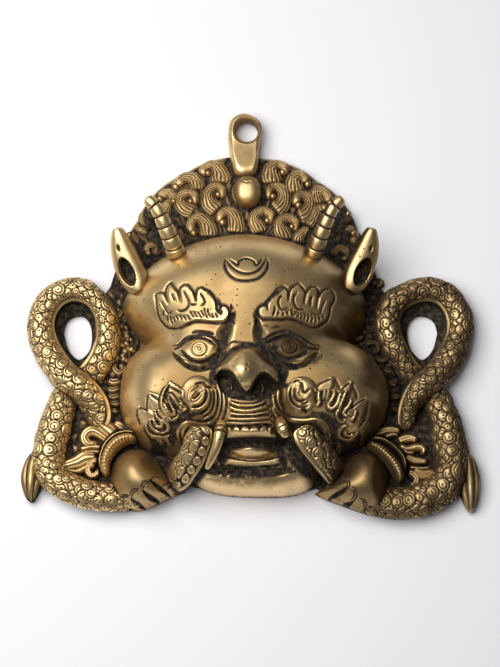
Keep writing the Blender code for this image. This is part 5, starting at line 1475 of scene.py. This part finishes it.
def hand_surface(place, x, y):
    """Height of one fist over the plan and how dark it is.

    The distance to the outline is taken softly, -w log(sum exp(-d / w)) over the outline's points, so that
    the back is one smooth dome, and the height over it is a quarter of a circle.
    """
    _, outline, slits, knuckles = place
    plan = np.column_stack([np.ravel(x), np.ravel(y)])
    edge = closed_line(outline, 8)
    spacing = np.linalg.norm(np.diff(edge, axis=0), axis=1).mean()
    away = np.linalg.norm(plan[:, None] - edge[None], axis=2)
    nearest = away.min(axis=1)
    soft = -HAND_MELT * np.log(np.exp(-away / HAND_MELT).sum(axis=1))
    soft += HAND_MELT * np.log(np.sqrt(2.0 * np.pi * nearest * HAND_MELT + 4.0 * HAND_MELT ** 2) / spacing)
    share = np.clip(soft / HAND_ROUND, 0.0, 1.0)
    height = HAND_EDGE + (HAND_TOP - HAND_EDGE) * np.sqrt(1.0 - (1.0 - share) ** 2)
    cut = drawn(plan, slits, SLIT_HALF, ends=0.5)
    lines = drawn(plan, knuckles, KNUCKLE_HALF, ends=0.2)
    shoulder_half, shoulder_depth = SLIT_SHOULDER
    height -= SLIT_DEPTH * cut + shoulder_depth * drawn(plan, slits, shoulder_half) + KNUCKLE_DEPTH * lines
    dark = np.maximum(smooth_step(1.8 * cut), 0.95 * smooth_step(1.4 * lines))
    return np.reshape(np.maximum(height, HAND_EDGE), np.shape(x)), np.reshape(dark, np.shape(x))


def hand(place):
    """One fist, as rings round the middle of its back, out to its outline and down to the floor of the
    casting."""
    middle, outline, _, _ = place
    turn = all_round(HAND_SPOKES)
    reach = radial_reach(closed_line(outline, 8), np.array(middle), turn)
    share = 1.0 - (1.0 - np.linspace(0.0, 1.0, HAND_RINGS + 1)[1:, None]) ** 1.3
    x = middle[0] + share * reach * np.cos(turn)
    y = middle[1] + share * reach * np.sin(turn)
    height, dark = hand_surface(place, x, y)
    rings = np.stack([x, y, height], axis=-1)
    rings = np.concatenate([rings, rings[-1:] * (1.0, 1.0, 0.0) + (0.0, 0.0, 0.2)])
    top, _ = hand_surface(place, *(np.array([value]) for value in middle))
    dark = np.concatenate([dark, np.zeros((1, HAND_SPOKES))])
    return closed_body(rings, dark, [(*middle, top[0]), (*middle, 0.2)])


def fluted(share, place):
    """Flutes across a bangle, that stop short of its two edges."""
    wave = np.abs(np.sin(BANGLE_FLUTES * np.pi * share + 0.6 * place)) ** 0.8
    keep = smooth_step((place + 1.0) / 0.3) * smooth_step((1.0 - place) / 0.3)
    return 0.7 * (wave - 0.5) * keep, 0.8 * smooth_step((0.45 - wave) / 0.45) * keep


def bangles():
    """The crescent bangles, fluted across, and the thin plain rim outside each."""
    forms = []
    narrow, wide = BANGLE_HALF
    for line in BANGLES:
        line = smooth_line(line, 26)
        swell = np.sin(np.linspace(0.25, np.pi - 0.25, len(line)))
        rise = BANGLE_RISE * (0.8 + 0.2 * swell)
        forms.append(ribbon(line, narrow + (wide - narrow) * swell, rise, flat(BANGLE_FOOT), fluted))
    for line in BANGLE_RIMS:
        line = smooth_line(line, 12)
        half_width, rise = (np.full(len(line), size)
                            for size in (BANGLE_RIM_HALF, BANGLE_RISE - BANGLE_RIM_DROP))
        forms.append(ribbon(line, half_width, rise, flat(BANGLE_FOOT), plain, across=14))
    return joined(forms)


def sleeve_leaves():
    """The leaves of both sleeves, each of one or more strands that narrow towards the tip."""
    forms = []
    for line, half_width, strands in LEAVES:

        def relief(share, place, strands=strands):
            wave = np.abs(np.cos(0.5 * np.pi * strands * (place + 1.0) - 0.5 * np.pi)) ** 0.8
            if strands > 1:
                return 0.9 * (wave - 0.7), 0.9 * smooth_step((0.4 - wave) / 0.4)
            return plain(share, place)

        line = smooth_line(line, 14)
        share = np.linspace(0.0, 1.0, len(line))
        width = LEAF_GROW * half_width * np.interp(share, (0.0, 0.3, 0.6, 1.0), (0.75, 1.0, 0.9, 0.5))
        forms.append(ribbon(line, width, np.full(len(line), LEAF_RISE), flat(LEAF_FOOT), relief))
    return joined(forms)


new_piece("hand_left", *hand(HANDS[0]), floor=0.12)
new_piece("hand_right", *hand(HANDS[1]), floor=0.12)
new_piece("bangles", *bangles())
new_piece("sleeve_leaves", *sleeve_leaves())


# Horns and ears
# Short ringed horns stand in the hair over the brows. The ears are thick-rimmed leaves, deeply hollowed.
HORN = ((37.5, 29.0, 30.0), (40.0, 35.0, 36.0), (44.0, 44.0, 41.5), (48.5, 52.5, 45.0), (54.0, 58.0, 46.0))
HORN_RADII = (5.6, 3.2)
HORN_RINGS = 6
HORN_GROOVE = 0.7
EAR = ((57.8, 10.0, 27.0), (62.6, 19.5, 28.5), (67.2, 31.0, 32.0), (70.2, 43.0, 37.0))
EAR_HALF = (7.8, 5.5)
EAR_HOLLOW = 9.0
EAR_SLIT_DEPTH = 1.5
EAR_SIDES = 96
EAR_TURN = 0.3
# The hollow and the slit: the middle and half size as shares of the ear's length, then across, from -1 to 1
EAR_PIT = (0.36, 0.25, 0.14, 0.56)
EAR_SLIT = (0.74, 0.06, 0.10, 0.16)


def horn_groove(share):
    """1 in the narrow groove between a horn's rings."""
    near = np.abs(share * HORN_RINGS - np.round(share * HORN_RINGS))
    return bump(near / 0.12) * (share > 0.05) * (share < 0.95)


def horn(side):
    """One horn: rings that each swell a little, with a cut groove between them."""

    def radius(share):
        swell = np.abs(np.sin(np.pi * HORN_RINGS * share)) ** 0.5
        taper = HORN_RADII[0] + (HORN_RADII[1] - HORN_RADII[0]) * share
        return taper * (0.92 + 0.08 * swell) - HORN_GROOVE * horn_groove(share)

    return mirrored(rod(HORN, radius, horn_groove, sides=48, steps=24), side)


def ear(side):
    """One ear: rings round a line from its root to its tip, with a deep oval hollow and a small slit in its
    front."""
    line = smooth_line(EAR, 30)
    share = np.linspace(0.0, 1.0, len(line))[:, None]
    half_width = EAR_HALF[0] * np.sqrt(np.clip(np.sin(np.pi * (0.12 + 0.85 * share ** 0.85)), 0.02, 1.0))
    turn = all_round(EAR_SIDES)[None]
    along = np.gradient(line, axis=0)
    across = np.stack([along[:, 1], -along[:, 0], np.zeros(len(line))], axis=-1)
    across /= np.linalg.norm(across, axis=1)[:, None]
    face = np.cross(across, along)
    face /= np.linalg.norm(face, axis=1)[:, None]
    cosine, sine = np.cos(EAR_TURN), np.sin(EAR_TURN)
    across, face = cosine * across - sine * face, cosine * face + sine * across
    place, front = np.cos(turn), np.sin(turn) > 0.0
    pit, slit = (np.hypot((share - up) / half_up, (place - aside) / half_aside)
                 for up, half_up, aside, half_aside in (EAR_PIT, EAR_SLIT))
    press = smooth_step((1.0 - pit) / 0.22) * front
    cut = smooth_step((1.0 - slit) / 0.5) * front
    wide = half_width * place
    body = EAR_HALF[1] * np.sqrt(half_width / EAR_HALF[0])
    deep = body * np.sign(np.sin(turn)) * np.abs(np.sin(turn)) ** 0.8
    deep = deep - EAR_HOLLOW * press - EAR_SLIT_DEPTH * cut
    rings = line[:, None] + wide[..., None] * across[:, None] + deep[..., None] * face[:, None]
    return mirrored(closed_body(rings, np.maximum(0.95 * smooth_step(1.6 * press - 0.3), cut)), side)


new_piece("horns", *joined([horn(-1.0), horn(1.0)]))
new_piece("ears", *joined([ear(-1.0), ear(1.0)]))


# Jewel, stalk and hanging ring
# A smooth oval boss sits in the middle of the hair. Above it a flat stalk widens into the ring that the
# mask hangs by.
JEWEL = (-1.7, 70.5)
JEWEL_HALF = (7.8, 9.1)
JEWEL_TOP = 20.3
JEWEL_FOOT = 9.2
JEWEL_ROWS = 45
JEWEL_SIDES = 110
# The power of the outline: 2 is round, and more is squarer.
JEWEL_CORNER = 2.4
NICK_HALF = 0.5
NICK_DEPTH = 0.25
JEWEL_NICKS = (((-5.2, 76.0), (-3.4, 74.6), (-0.8, 74.0)), ((-1.6, 75.0), (0.8, 74.6)))
JEWEL_FRAME = ((-8.6, 76.4), (-9.9, 72.6), (-9.6, 67.8), (-7.8, 63.6))
FRAME_HALF = 0.75
FRAME_RISE = 3.0
RING_HOLE = (-2.1, 107.8)
RING_HOLE_RADIUS = 6.3
RING_BOTTOM = 3.5
RING_TOP = 12.6
STALK_TOP = 15.4
# How far in the ring's edges are rounded: at the hole, at the ring's outside and at the stalk's
RING_EDGES = (2.6, 3.6, 5.4)
RING_EDGE_DROP = 4.5
RING_SPOKES = 240
RING_STEPS = 60
RING_OUTLINE = (
    (-12.9, 107), (-11.8, 113.6), (-8.9, 117), (-4.6, 118.6), (0.5, 117.6), (4.5, 114.6), (6.6, 110),
    (6, 104.2), (4.6, 93.8), (4.4, 87), (3, 82.3), (0.6, 80.3), (-6.9, 80.3), (-10.5, 87), (-12.7, 102.7),
)


def hanging_ring():
    """The ring and its stalk as one form: spokes from the round hole out to the outline, rounded over at
    both."""
    turn = all_round(RING_SPOKES)
    outer = radial_reach(closed_line(RING_OUTLINE, 8), np.array(RING_HOLE), turn)[:, None]
    section = np.linspace(0.0, 1.0, RING_STEPS)[None]
    reach = RING_HOLE_RADIUS + (outer - RING_HOLE_RADIUS) * section
    x = RING_HOLE[0] + reach * np.cos(turn)[:, None]
    y = RING_HOLE[1] + reach * np.sin(turn)[:, None]
    top = RING_TOP + (STALK_TOP - RING_TOP) * smooth_step((104.0 - y) / 24.0)
    hole_edge, ring_edge, stalk_edge = RING_EDGES
    outer_edge = ring_edge + (stalk_edge - ring_edge) * smooth_step((96.0 - y) / 8.0)
    edge = np.minimum((reach - RING_HOLE_RADIUS) / hole_edge, (outer - reach) / outer_edge)
    z = top - RING_EDGE_DROP * (1.0 - dome(1.0 - np.clip(edge, 0.0, 1.0)))
    over = np.stack([x, y, z], axis=-1)
    under = over[:, [-1, 0]].copy()
    under[..., 2] = RING_BOTTOM
    rings = np.concatenate([over, under], axis=1)
    rows, columns = rings.shape[:2]
    corners = grid_corners(rows + 1, columns, closed=True) % (rows * columns)
    # The edge round the hole is made darker: painted shade where it rounds down into the hole.
    inside = smooth_step(1.0 - (reach - RING_HOLE_RADIUS) / 1.6)
    inside = np.concatenate([inside, np.zeros((rows, 2))], axis=1)
    return rings.reshape(-1, 3), [corners], 0.55 * inside.ravel()


def bare(share, place):
    """No relief and no crust."""
    return 0.0 * place, 0.0 * place


def jewel():
    """The boss, a little square, with two nicks near its top, and what is left of its thin frame."""
    tilt = np.linspace(0.0, 0.5 * np.pi, JEWEL_ROWS + 1)[1:, None]
    turn = all_round(JEWEL_SIDES)
    square = np.abs(np.cos(turn)) ** JEWEL_CORNER + np.abs(np.sin(turn)) ** JEWEL_CORNER
    square = square ** (-1.0 / JEWEL_CORNER)
    reach = np.sin(tilt) ** 0.75 * square
    x = JEWEL[0] + JEWEL_HALF[0] * reach * np.cos(turn)
    y = JEWEL[1] + JEWEL_HALF[1] * reach * np.sin(turn)
    z = JEWEL_FOOT + (JEWEL_TOP - JEWEL_FOOT) * np.repeat(np.cos(tilt) ** 0.5, len(turn), axis=1)
    nicks = drawn(np.column_stack([x.ravel(), y.ravel()]), JEWEL_NICKS, NICK_HALF).reshape(x.shape)
    rings = np.stack([x, y, z - NICK_DEPTH * nicks], axis=-1)
    rings = np.concatenate([rings, rings[-1:] - (0.0, 0.0, 2.0)])
    dark = np.concatenate([0.9 * nicks, np.zeros((1, len(turn)))])
    boss = closed_body(rings, dark, [(*JEWEL, JEWEL_TOP), (*JEWEL, JEWEL_FOOT - 2.0)])
    line = smooth_line(JEWEL_FRAME, 14)
    width = FRAME_HALF * np.sin(np.linspace(0.4, np.pi - 0.4, len(line)))
    return [boss, ribbon(line, width, np.full(len(line), FRAME_RISE), crest_height, bare, across=12)]


new_piece("jewel_and_ring", *joined([hanging_ring(), *jewel()]))


# Fangs
# A short blunt fang at the right corner of the mouth, and a longer one with two rings cut round it at the
# left.
FANG_CUT = 0.35
# Each is its line, the radius at places along it and the shares of its length where the rings are cut.
FANGS = (
    (((-15.4, -65.8, 44.8), (-16.4, -72.6, 49.2), (-18, -79.6, 48), (-20.6, -85.6, 44.5),
      (-23.6, -91, 39.5)), (2.6, 3, 2.6, 2.1, 1.3), (0.18, 0.26)),
    (((15, -64.6, 44), (16.6, -69, 49.5), (18.1, -72.2, 50), (19.4, -75, 48)), (2.6, 3, 3.5, 2.2),
     (0.4, 0.6)),
)


def fangs():
    """Both fangs, each a rod with two dark lines cut round it."""
    forms = []
    for line, radii, cuts in FANGS:
        places = np.linspace(0.0, 1.0, len(radii))

        def cut(share, cuts=cuts):
            return sum(bump((share - place) / 0.03) for place in cuts)

        def radius(share, radii=radii, places=places, cut=cut):
            return np.interp(share, places, radii) - FANG_CUT * cut(share)

        forms.append(rod(line, radius, cut))
    return joined(forms)


new_piece("fangs", *fangs())


# Patina
# Old brass is rubbed bright where it stands proud and keeps a brown and black crust where a cloth can't
# reach. Both are worked out here from the height of the whole casting, and kept as attributes of each
# piece. Painted highlights are added on given spots, and painted shade, dark brown, on the right-hand part
# and on sides that turn right, away from the light.
CELL = 0.6
FIELD_MARGIN = 20.0
# Over each of these widths the casting's height is averaged, with the weight of each
RUB_SCALES = ((1.6, 0.75), (4.0, 0.85), (11.0, 0.9))
# How much of the hollows' crust a piece keeps, where it isn't 0.85
KEEPS = {"head": 0.48, "hand_left": 0.5, "hand_right": 0.55, "jewel_and_ring": 0.4, "horns": 0.6, "ears": 0.5,
         "fangs": 0.5, "cheek_curls": 0.5, "back_plate": 0.6}
# How much painted shade darkens the right-hand part of a piece, away from the light, where it isn't 0.3
PAINTED_RIGHT_SHADE = {"head": 0.0, "back_plate": 1.0, "cheek_curls": 0.9, "hair": 0.1, "hand_right": 0.3,
          "serpent_neck_right": 0.05, "serpent_right": 0.45, "sleeve_leaves": 0.1}
# Spots of painted highlight, and of painted shade with some brown stain: the middle and the reach of each
# place, the painted highlight and the painted shade
HIGHLIGHT_AND_SHADE_SPOTS = (
    (-2, 14, 38, 0.3, 0), (-6, -38, 13, 0.8, 0), (-52, -42, 19, 0, 0.34), (-36, -4, 20, 0, 0.26),
    (-76, -103, 30, 0.75, 0), (-38, -82, 14, 0.45, 0), (-3, 92, 20, 0.4, 0), (0, -72, 17, 0.5, 0),
    (-60, -12, 12, 0, 0.2), (22, -27, 19, 0, 1.1),
)
# How much of its shine a piece keeps, where it isn't all of it
SHINE = {"hand_left": 0.35, "hand_right": 0.35, "hair": 0.7}


def blurred(field, width):
    """The field averaged over a square of this many cells, three times over."""
    for _ in range(3):
        for axis in (0, 1):
            half = max(int(width // 2), 1)
            spread = [(half + 1, half) if other == axis else (0, 0) for other in (0, 1)]
            sums = np.cumsum(np.pad(field, spread, mode="edge"), axis=axis)
            span = 2 * half + 1
            ahead = np.take(sums, np.arange(span, sums.shape[axis]), axis=axis)
            behind = np.take(sums, np.arange(0, sums.shape[axis] - span), axis=axis)
            field = (ahead - behind) / span
    return field


def casting_height():
    """The lowest corner of a grid over the casting, and the highest point over each cell, with small gaps
    filled."""
    low, high = solid_low[:2] * 1000.0 - FIELD_MARGIN, solid_high[:2] * 1000.0 + FIELD_MARGIN
    heights = np.zeros(tuple(np.ceil((high - low) / CELL).astype(int) + 1))
    for _, points, _ in casting:
        cell = np.round((points[:, :2] - low) / CELL).astype(int)
        np.maximum.at(heights, (cell[:, 0], cell[:, 1]), points[:, 2])
    for _ in range(3):
        padded = np.pad(heights, 1)
        around = np.max([padded[:-2, 1:-1], padded[2:, 1:-1], padded[1:-1, :-2], padded[1:-1, 2:]], axis=0)
        heights = np.where((heights < 0.3) & (around > 3.0), around, heights)
    return low, heights


def read_field(field, spots):
    """A field at places counted in cells, between its four neighbours."""
    spots = np.clip(spots, 0.0, np.array(field.shape) - 1.001)
    cell = spots.astype(int)
    across, up = (spots - cell).T
    near, far = (field[cell[:, 0] + k, cell[:, 1]] * (1.0 - up) + field[cell[:, 0] + k, cell[:, 1] + 1] * up
                 for k in (0, 1))
    return near + (far - near) * across


def wear(name, points, normals, dark, low, smooth):
    """The crust, the shine with painted highlights, and the painted shade with brown stain of a piece at its
    points.

    A place is hollow or proud by how far the averaged height beside it, towards which it faces, lies above
    or below it, as a share of the width of the averaging.
    """
    hollow, proud = np.zeros(len(points)), np.zeros(len(points))
    for (scale, weight), field in zip(RUB_SCALES, smooth):
        beside = points[:, :2] + 0.7 * scale * normals[:, :2]
        drop = (read_field(field, (beside - low) / CELL) - points[:, 2]) / scale
        hollow += weight * np.clip(drop - 0.06, 0.0, 1.2)
        proud += weight * np.clip(-drop, 0.0, 0.6)
    blots = speckled(points[:, :2], 9.0, 31)
    dark = np.clip(dark + KEEPS.get(name, 0.85) * smooth_step(hollow / 1.3), 0.0, 1.0)
    rub_and_highlight = smooth_step(proud / 0.6) * (1.0 - dark)
    # Painted shade: sides that turn right and the right-hand part of each piece, away from the light, are
    # made dark brown; the random blots and the faint stain below are the brass's own.
    right = smooth_step((points[:, 0] - 20.0) / 50.0)
    steep = smooth_step((normals[:, 0] - 0.30) / 0.45) * smooth_step((points[:, 0] + 20.0) / 40.0)
    shade_and_stain = np.clip((0.55 + 0.6 * blots) * steep + PAINTED_RIGHT_SHADE.get(name, 0.3) * right * (0.5 + blots), 0.0, 1.0)
    shade_and_stain = np.maximum(shade_and_stain, 0.12 * smooth_step(1.6 * blots - 0.7))
    # Painted highlights and painted shade, the shade partly brown stain, on given spots
    for across, up, reach, painted_highlight, more_shade_and_stain in HIGHLIGHT_AND_SHADE_SPOTS:
        near = bump(np.hypot(points[:, 0] - across, points[:, 1] - up) / reach)
        rub_and_highlight = np.maximum(rub_and_highlight, painted_highlight * near * (1.0 - dark))
        shade_and_stain = np.maximum(shade_and_stain, more_shade_and_stain * near * (0.6 + 0.6 * blots))
    return {"dark": dark, "rub_and_highlight": SHINE.get(name, 1.0) * rub_and_highlight * (1.0 - 0.8 * shade_and_stain), "shade_and_stain": shade_and_stain}


def patina():
    """Writes each piece's wear and painted light: dark is the crust in the hollows; then the shine on the
    high places, with painted highlights on given spots; then painted shade, dark brown with some real stain,
    on sides that turn right and on the right-hand part, away from the light, most of all over the plate and
    the right-hand coil."""
    low, heights = casting_height()
    smooth = [blurred(heights, scale / CELL) for scale, _ in RUB_SCALES]
    for made, points, dark in casting:
        normals = np.empty(3 * len(points))
        made.data.vertex_normals.foreach_get("vector", normals)
        for name, values in wear(made.name, points, normals.reshape(-1, 3), dark, low, smooth).items():
            layer = made.data.attributes.new(name, "FLOAT", "POINT")
            layer.data.foreach_set("value", values.astype(np.float32))


patina()


# Brass
# Two finishes of one surface, finer on the smooth pieces, show the rubbed metal with painted highlights,
# the painted shade with some brown stain, and the crust.
SMOOTH_PIECES = ("head", "hand_left", "hand_right", "jewel_and_ring", "horns", "ears", "fangs")
OLD_BRASS = (0.42, 0.280, 0.120, 1.0)
BROWN_BRASS = (0.27, 0.160, 0.065, 1.0)
# The colours of rubbed metal with painted highlights, and of painted shade with brown stain
RUBBED_AND_HIGHLIGHT_BRASS = (0.84, 0.62, 0.31, 1.0)
SHADE_AND_STAIN_BRASS = (0.085, 0.052, 0.021, 1.0)
BLACK_CRUST = (0.016, 0.013, 0.010, 1.0)
PALE_CRUST = (0.110, 0.078, 0.048, 1.0)
PIT_COLOR = (0.05, 0.03, 0.015, 1.0)
PITTED_SHARE = 0.80
CRUST_ROUGHNESS = (0.55, 0.85)
RUB_POLISH = 0.14
BUMP_STRENGTH = 0.35
BUMP_DEPTH = 0.0003


def node(tree, kind, place, inputs=(), **settings):
    """A new node at a place counted in columns and rows. Each input gets a value, or a link from a socket."""
    made = tree.nodes.new(kind)
    made.location = (220.0 * place[0], -190.0 * place[1])
    for name, value in settings.items():
        setattr(made, name, value)
    for name, value in dict(inputs).items():
        if isinstance(value, bpy.types.NodeSocket):
            tree.links.new(value, made.inputs[name])
        else:
            made.inputs[name].default_value = value
    return made


def noise(tree, place, where, **sizes):
    """Cloudy noise from 0 to 1."""
    return node(tree, "ShaderNodeTexNoise", place, {"Vector": where, **sizes}).outputs["Fac"]


def span(tree, place, value, start, end, to=(0.0, 1.0), **settings):
    """A value that runs from the one end to the other as its input goes from the start to the end."""
    limits = {"From Min": start, "From Max": end, "To Min": to[0], "To Max": to[1]}
    return node(tree, "ShaderNodeMapRange", place, {"Value": value, **limits}, **settings).outputs["Result"]


def mix(tree, place, factor, first, second):
    """One colour that turns into another by a factor."""
    inputs = {"Factor": factor, "A": first, "B": second}
    return node(tree, "ShaderNodeMix", place, inputs, data_type="RGBA").outputs["Result"]


def sum_up(tree, place, operation, *values):
    """The result of a sum with one, two or three values."""
    return node(tree, "ShaderNodeMath", place, dict(enumerate(values)), operation=operation).outputs["Value"]


def aged_brass_group():
    """Shader group: a piece's wear, painted highlights and painted shade in, and the metal's colour,
    roughness, height and metallic value out.
    """
    tree = bpy.data.node_groups.new("aged brass surface", "ShaderNodeTree")
    for name, value in (("Dark", 0.0), ("Rub_and_highlight", 0.0), ("Shade_and_stain", 0.0), ("Grain", 1.0)):
        tree.interface.new_socket(name, in_out="INPUT", socket_type="NodeSocketFloat").default_value = value
    for name in ("Color", "Roughness", "Height", "Metallic"):
        kind = "NodeSocketColor" if name == "Color" else "NodeSocketFloat"
        tree.interface.new_socket(name, in_out="OUTPUT", socket_type=kind)
    enter = node(tree, "NodeGroupInput", (0, 0)).outputs
    where = node(tree, "ShaderNodeTexCoord", (0, 2)).outputs["Object"]
    cloud = noise(tree, (1, 1), where, Scale=38.0, Detail=6.0, Roughness=0.62)
    fine = noise(tree, (1, 2), where, Scale=420.0, Detail=3.0)
    pits = node(tree, "ShaderNodeTexVoronoi", (1, 3), {"Vector": where, "Scale": 430.0}).outputs
    patches = span(tree, (2, 1), cloud, 0.35, 0.68, clamp=True)
    jitter = sum_up(tree, (2, 2), "MULTIPLY_ADD", fine, 0.5, -0.25)
    uneven = sum_up(tree, (3, 2), "ADD", enter["Dark"], jitter)
    crust = span(tree, (4, 2), uneven, 0.22, 0.80, clamp=True, interpolation_type="SMOOTHSTEP")
    hole = span(tree, (2, 3), pits["Distance"], 0.14, 0.24, to=(1.0, 0.0), clamp=True)
    pick = node(tree, "ShaderNodeSeparateColor", (2, 4), {"Color": pits["Color"]}).outputs["Red"]
    pitted = sum_up(tree, (4, 3), "MULTIPLY", hole, sum_up(tree, (3, 3), "GREATER_THAN", pick, PITTED_SHARE))
    brown = mix(tree, (3, 0), patches, OLD_BRASS, BROWN_BRASS)
    # Rubbed metal and painted highlights lighten the brass; painted shade, partly brown stain, darkens it.
    bright = mix(tree, (4, 0), enter["Rub_and_highlight"], brown, RUBBED_AND_HIGHLIGHT_BRASS)
    shaded_and_stained = mix(tree, (5, -1), enter["Shade_and_stain"], bright, SHADE_AND_STAIN_BRASS)
    earth = mix(tree, (4, 1), span(tree, (3, 1), fine, 0.45, 0.75, clamp=True), BLACK_CRUST, PALE_CRUST)
    black = mix(tree, (5, 0), crust, shaded_and_stained, earth)
    rough = span(tree, (6, 1), crust, 0.0, 1.0, to=CRUST_ROUGHNESS)
    grain = sum_up(tree, (5, 3), "MULTIPLY", fine, enter["Grain"])
    node(tree, "NodeGroupOutput", (8, 0), {
        "Color": mix(tree, (6, 0), pitted, black, PIT_COLOR),
        "Roughness": sum_up(tree, (7, 1), "MULTIPLY_ADD", enter["Rub_and_highlight"], -RUB_POLISH, rough),
        "Height": sum_up(tree, (6, 3), "MULTIPLY_ADD", pitted, -1.0, grain),
        "Metallic": span(tree, (6, 2), crust, 0.0, 1.0, to=(1.0, 0.15)),
    })
    return tree


def brass(name, group, grain):
    """One finish of the brass, which reads the wear, painted highlights and painted shade of its piece."""
    material = bpy.data.materials.new(name)
    material.use_nodes = True
    tree = material.node_tree
    shader = tree.nodes["Principled BSDF"]
    shader.inputs["Specular IOR Level"].default_value = 0.25
    surface = node(tree, "ShaderNodeGroup", (-2, 0), node_tree=group)
    surface.inputs["Grain"].default_value = grain
    for row, name in enumerate(("Dark", "Rub_and_highlight", "Shade_and_stain")):
        value = node(tree, "ShaderNodeAttribute", (-3, row), attribute_name=name.lower()).outputs["Fac"]
        tree.links.new(value, surface.inputs[name])
    bumps = {"Strength": BUMP_STRENGTH, "Distance": BUMP_DEPTH, "Height": surface.outputs["Height"]}
    tree.links.new(node(tree, "ShaderNodeBump", (-1, 1), bumps).outputs["Normal"], shader.inputs["Normal"])
    for output, target in (("Color", "Base Color"), ("Roughness", "Roughness"), ("Metallic", "Metallic")):
        tree.links.new(surface.outputs[output], shader.inputs[target])
    return material


brass_group = aged_brass_group()
smooth_brass = brass("smooth brass", brass_group, 0.35)
carved_brass = brass("carved brass", brass_group, 1.0)
for made, _, _ in casting:
    made.data.materials.append(smooth_brass if made.name in SMOOTH_PIECES else carved_brass)


# Floor, light and camera
# A pale lavender-white floor under one large soft light from the lower left, as in a small product studio.
CAMERA_DISTANCE = 1.1
CAMERA_TILT = np.radians(12.0)
CAMERA_TARGET = (-0.0002, -0.0121, 0.0060)
CAMERA_LENS = 105.85
FLOOR_REACH = 3.0
FLOOR_COLOR = (0.92, 0.92, 0.955, 1.0)
KEY_PLACE = (-0.35, 0.10, 0.85)
KEY_SIZE = (0.8, 0.8)
KEY_WATTS = 10.8
KEY_COLOR = (1.0, 0.985, 0.96)
SKY_COLOR = (0.92, 0.94, 1.0, 1.0)
SKY_STRENGTH = 0.10


def floor():
    """The plain floor that the mask lies on."""
    mesh = bpy.data.meshes.new("floor")
    corners = [(FLOOR_REACH * x, FLOOR_REACH * y, 0.0) for x, y in ((-1, -1), (1, -1), (1, 1), (-1, 1))]
    mesh.from_pydata(corners, [], [(0, 1, 2, 3)])
    made = bpy.data.objects.new("floor", mesh)
    material = bpy.data.materials.new("pale floor")
    material.use_nodes = True
    shader = material.node_tree.nodes["Principled BSDF"]
    shader.inputs["Base Color"].default_value = FLOOR_COLOR
    shader.inputs["Roughness"].default_value = 0.7
    mesh.materials.append(material)
    bpy.context.scene.collection.objects.link(made)
    made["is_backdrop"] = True


def softbox(name, place, aim, size, watts, color):
    """A large soft light that points at a place."""
    light = bpy.data.lights.new(name, "AREA")
    light.shape = "RECTANGLE"
    light.size, light.size_y = size
    light.energy = watts
    light.color = color
    made = bpy.data.objects.new(name, light)
    away = np.array(aim) - np.array(place)
    made.location = place
    tilt, heading = np.arctan2(np.hypot(*away[:2]), -away[2]), np.arctan2(away[1], away[0])
    made.rotation_euler = (tilt, 0.0, heading - 0.5 * np.pi)
    bpy.context.scene.collection.objects.link(made)


def studio():
    """The floor, one soft key light, a weak even sky and the camera that looks down on the mask."""
    floor()
    softbox("key light", KEY_PLACE, (0.0, 0.0, 0.0), KEY_SIZE, KEY_WATTS, KEY_COLOR)
    world = bpy.data.worlds.new("studio")
    world.use_nodes = True
    background = world.node_tree.nodes["Background"]
    background.inputs["Color"].default_value = SKY_COLOR
    background.inputs["Strength"].default_value = SKY_STRENGTH
    bpy.context.scene.world = world
    camera = bpy.data.cameras.new("camera")
    camera.lens = CAMERA_LENS
    camera.clip_start = 0.05
    made = bpy.data.objects.new("camera", camera)
    back = np.array([0.0, -np.sin(CAMERA_TILT), np.cos(CAMERA_TILT)])
    made.location = np.array(CAMERA_TARGET) + CAMERA_DISTANCE * back
    made.rotation_euler = (CAMERA_TILT, 0.0, 0.0)
    bpy.context.scene.collection.objects.link(made)
    bpy.context.scene.camera = made
    bpy.context.scene.view_settings.view_transform = "Standard"


studio()
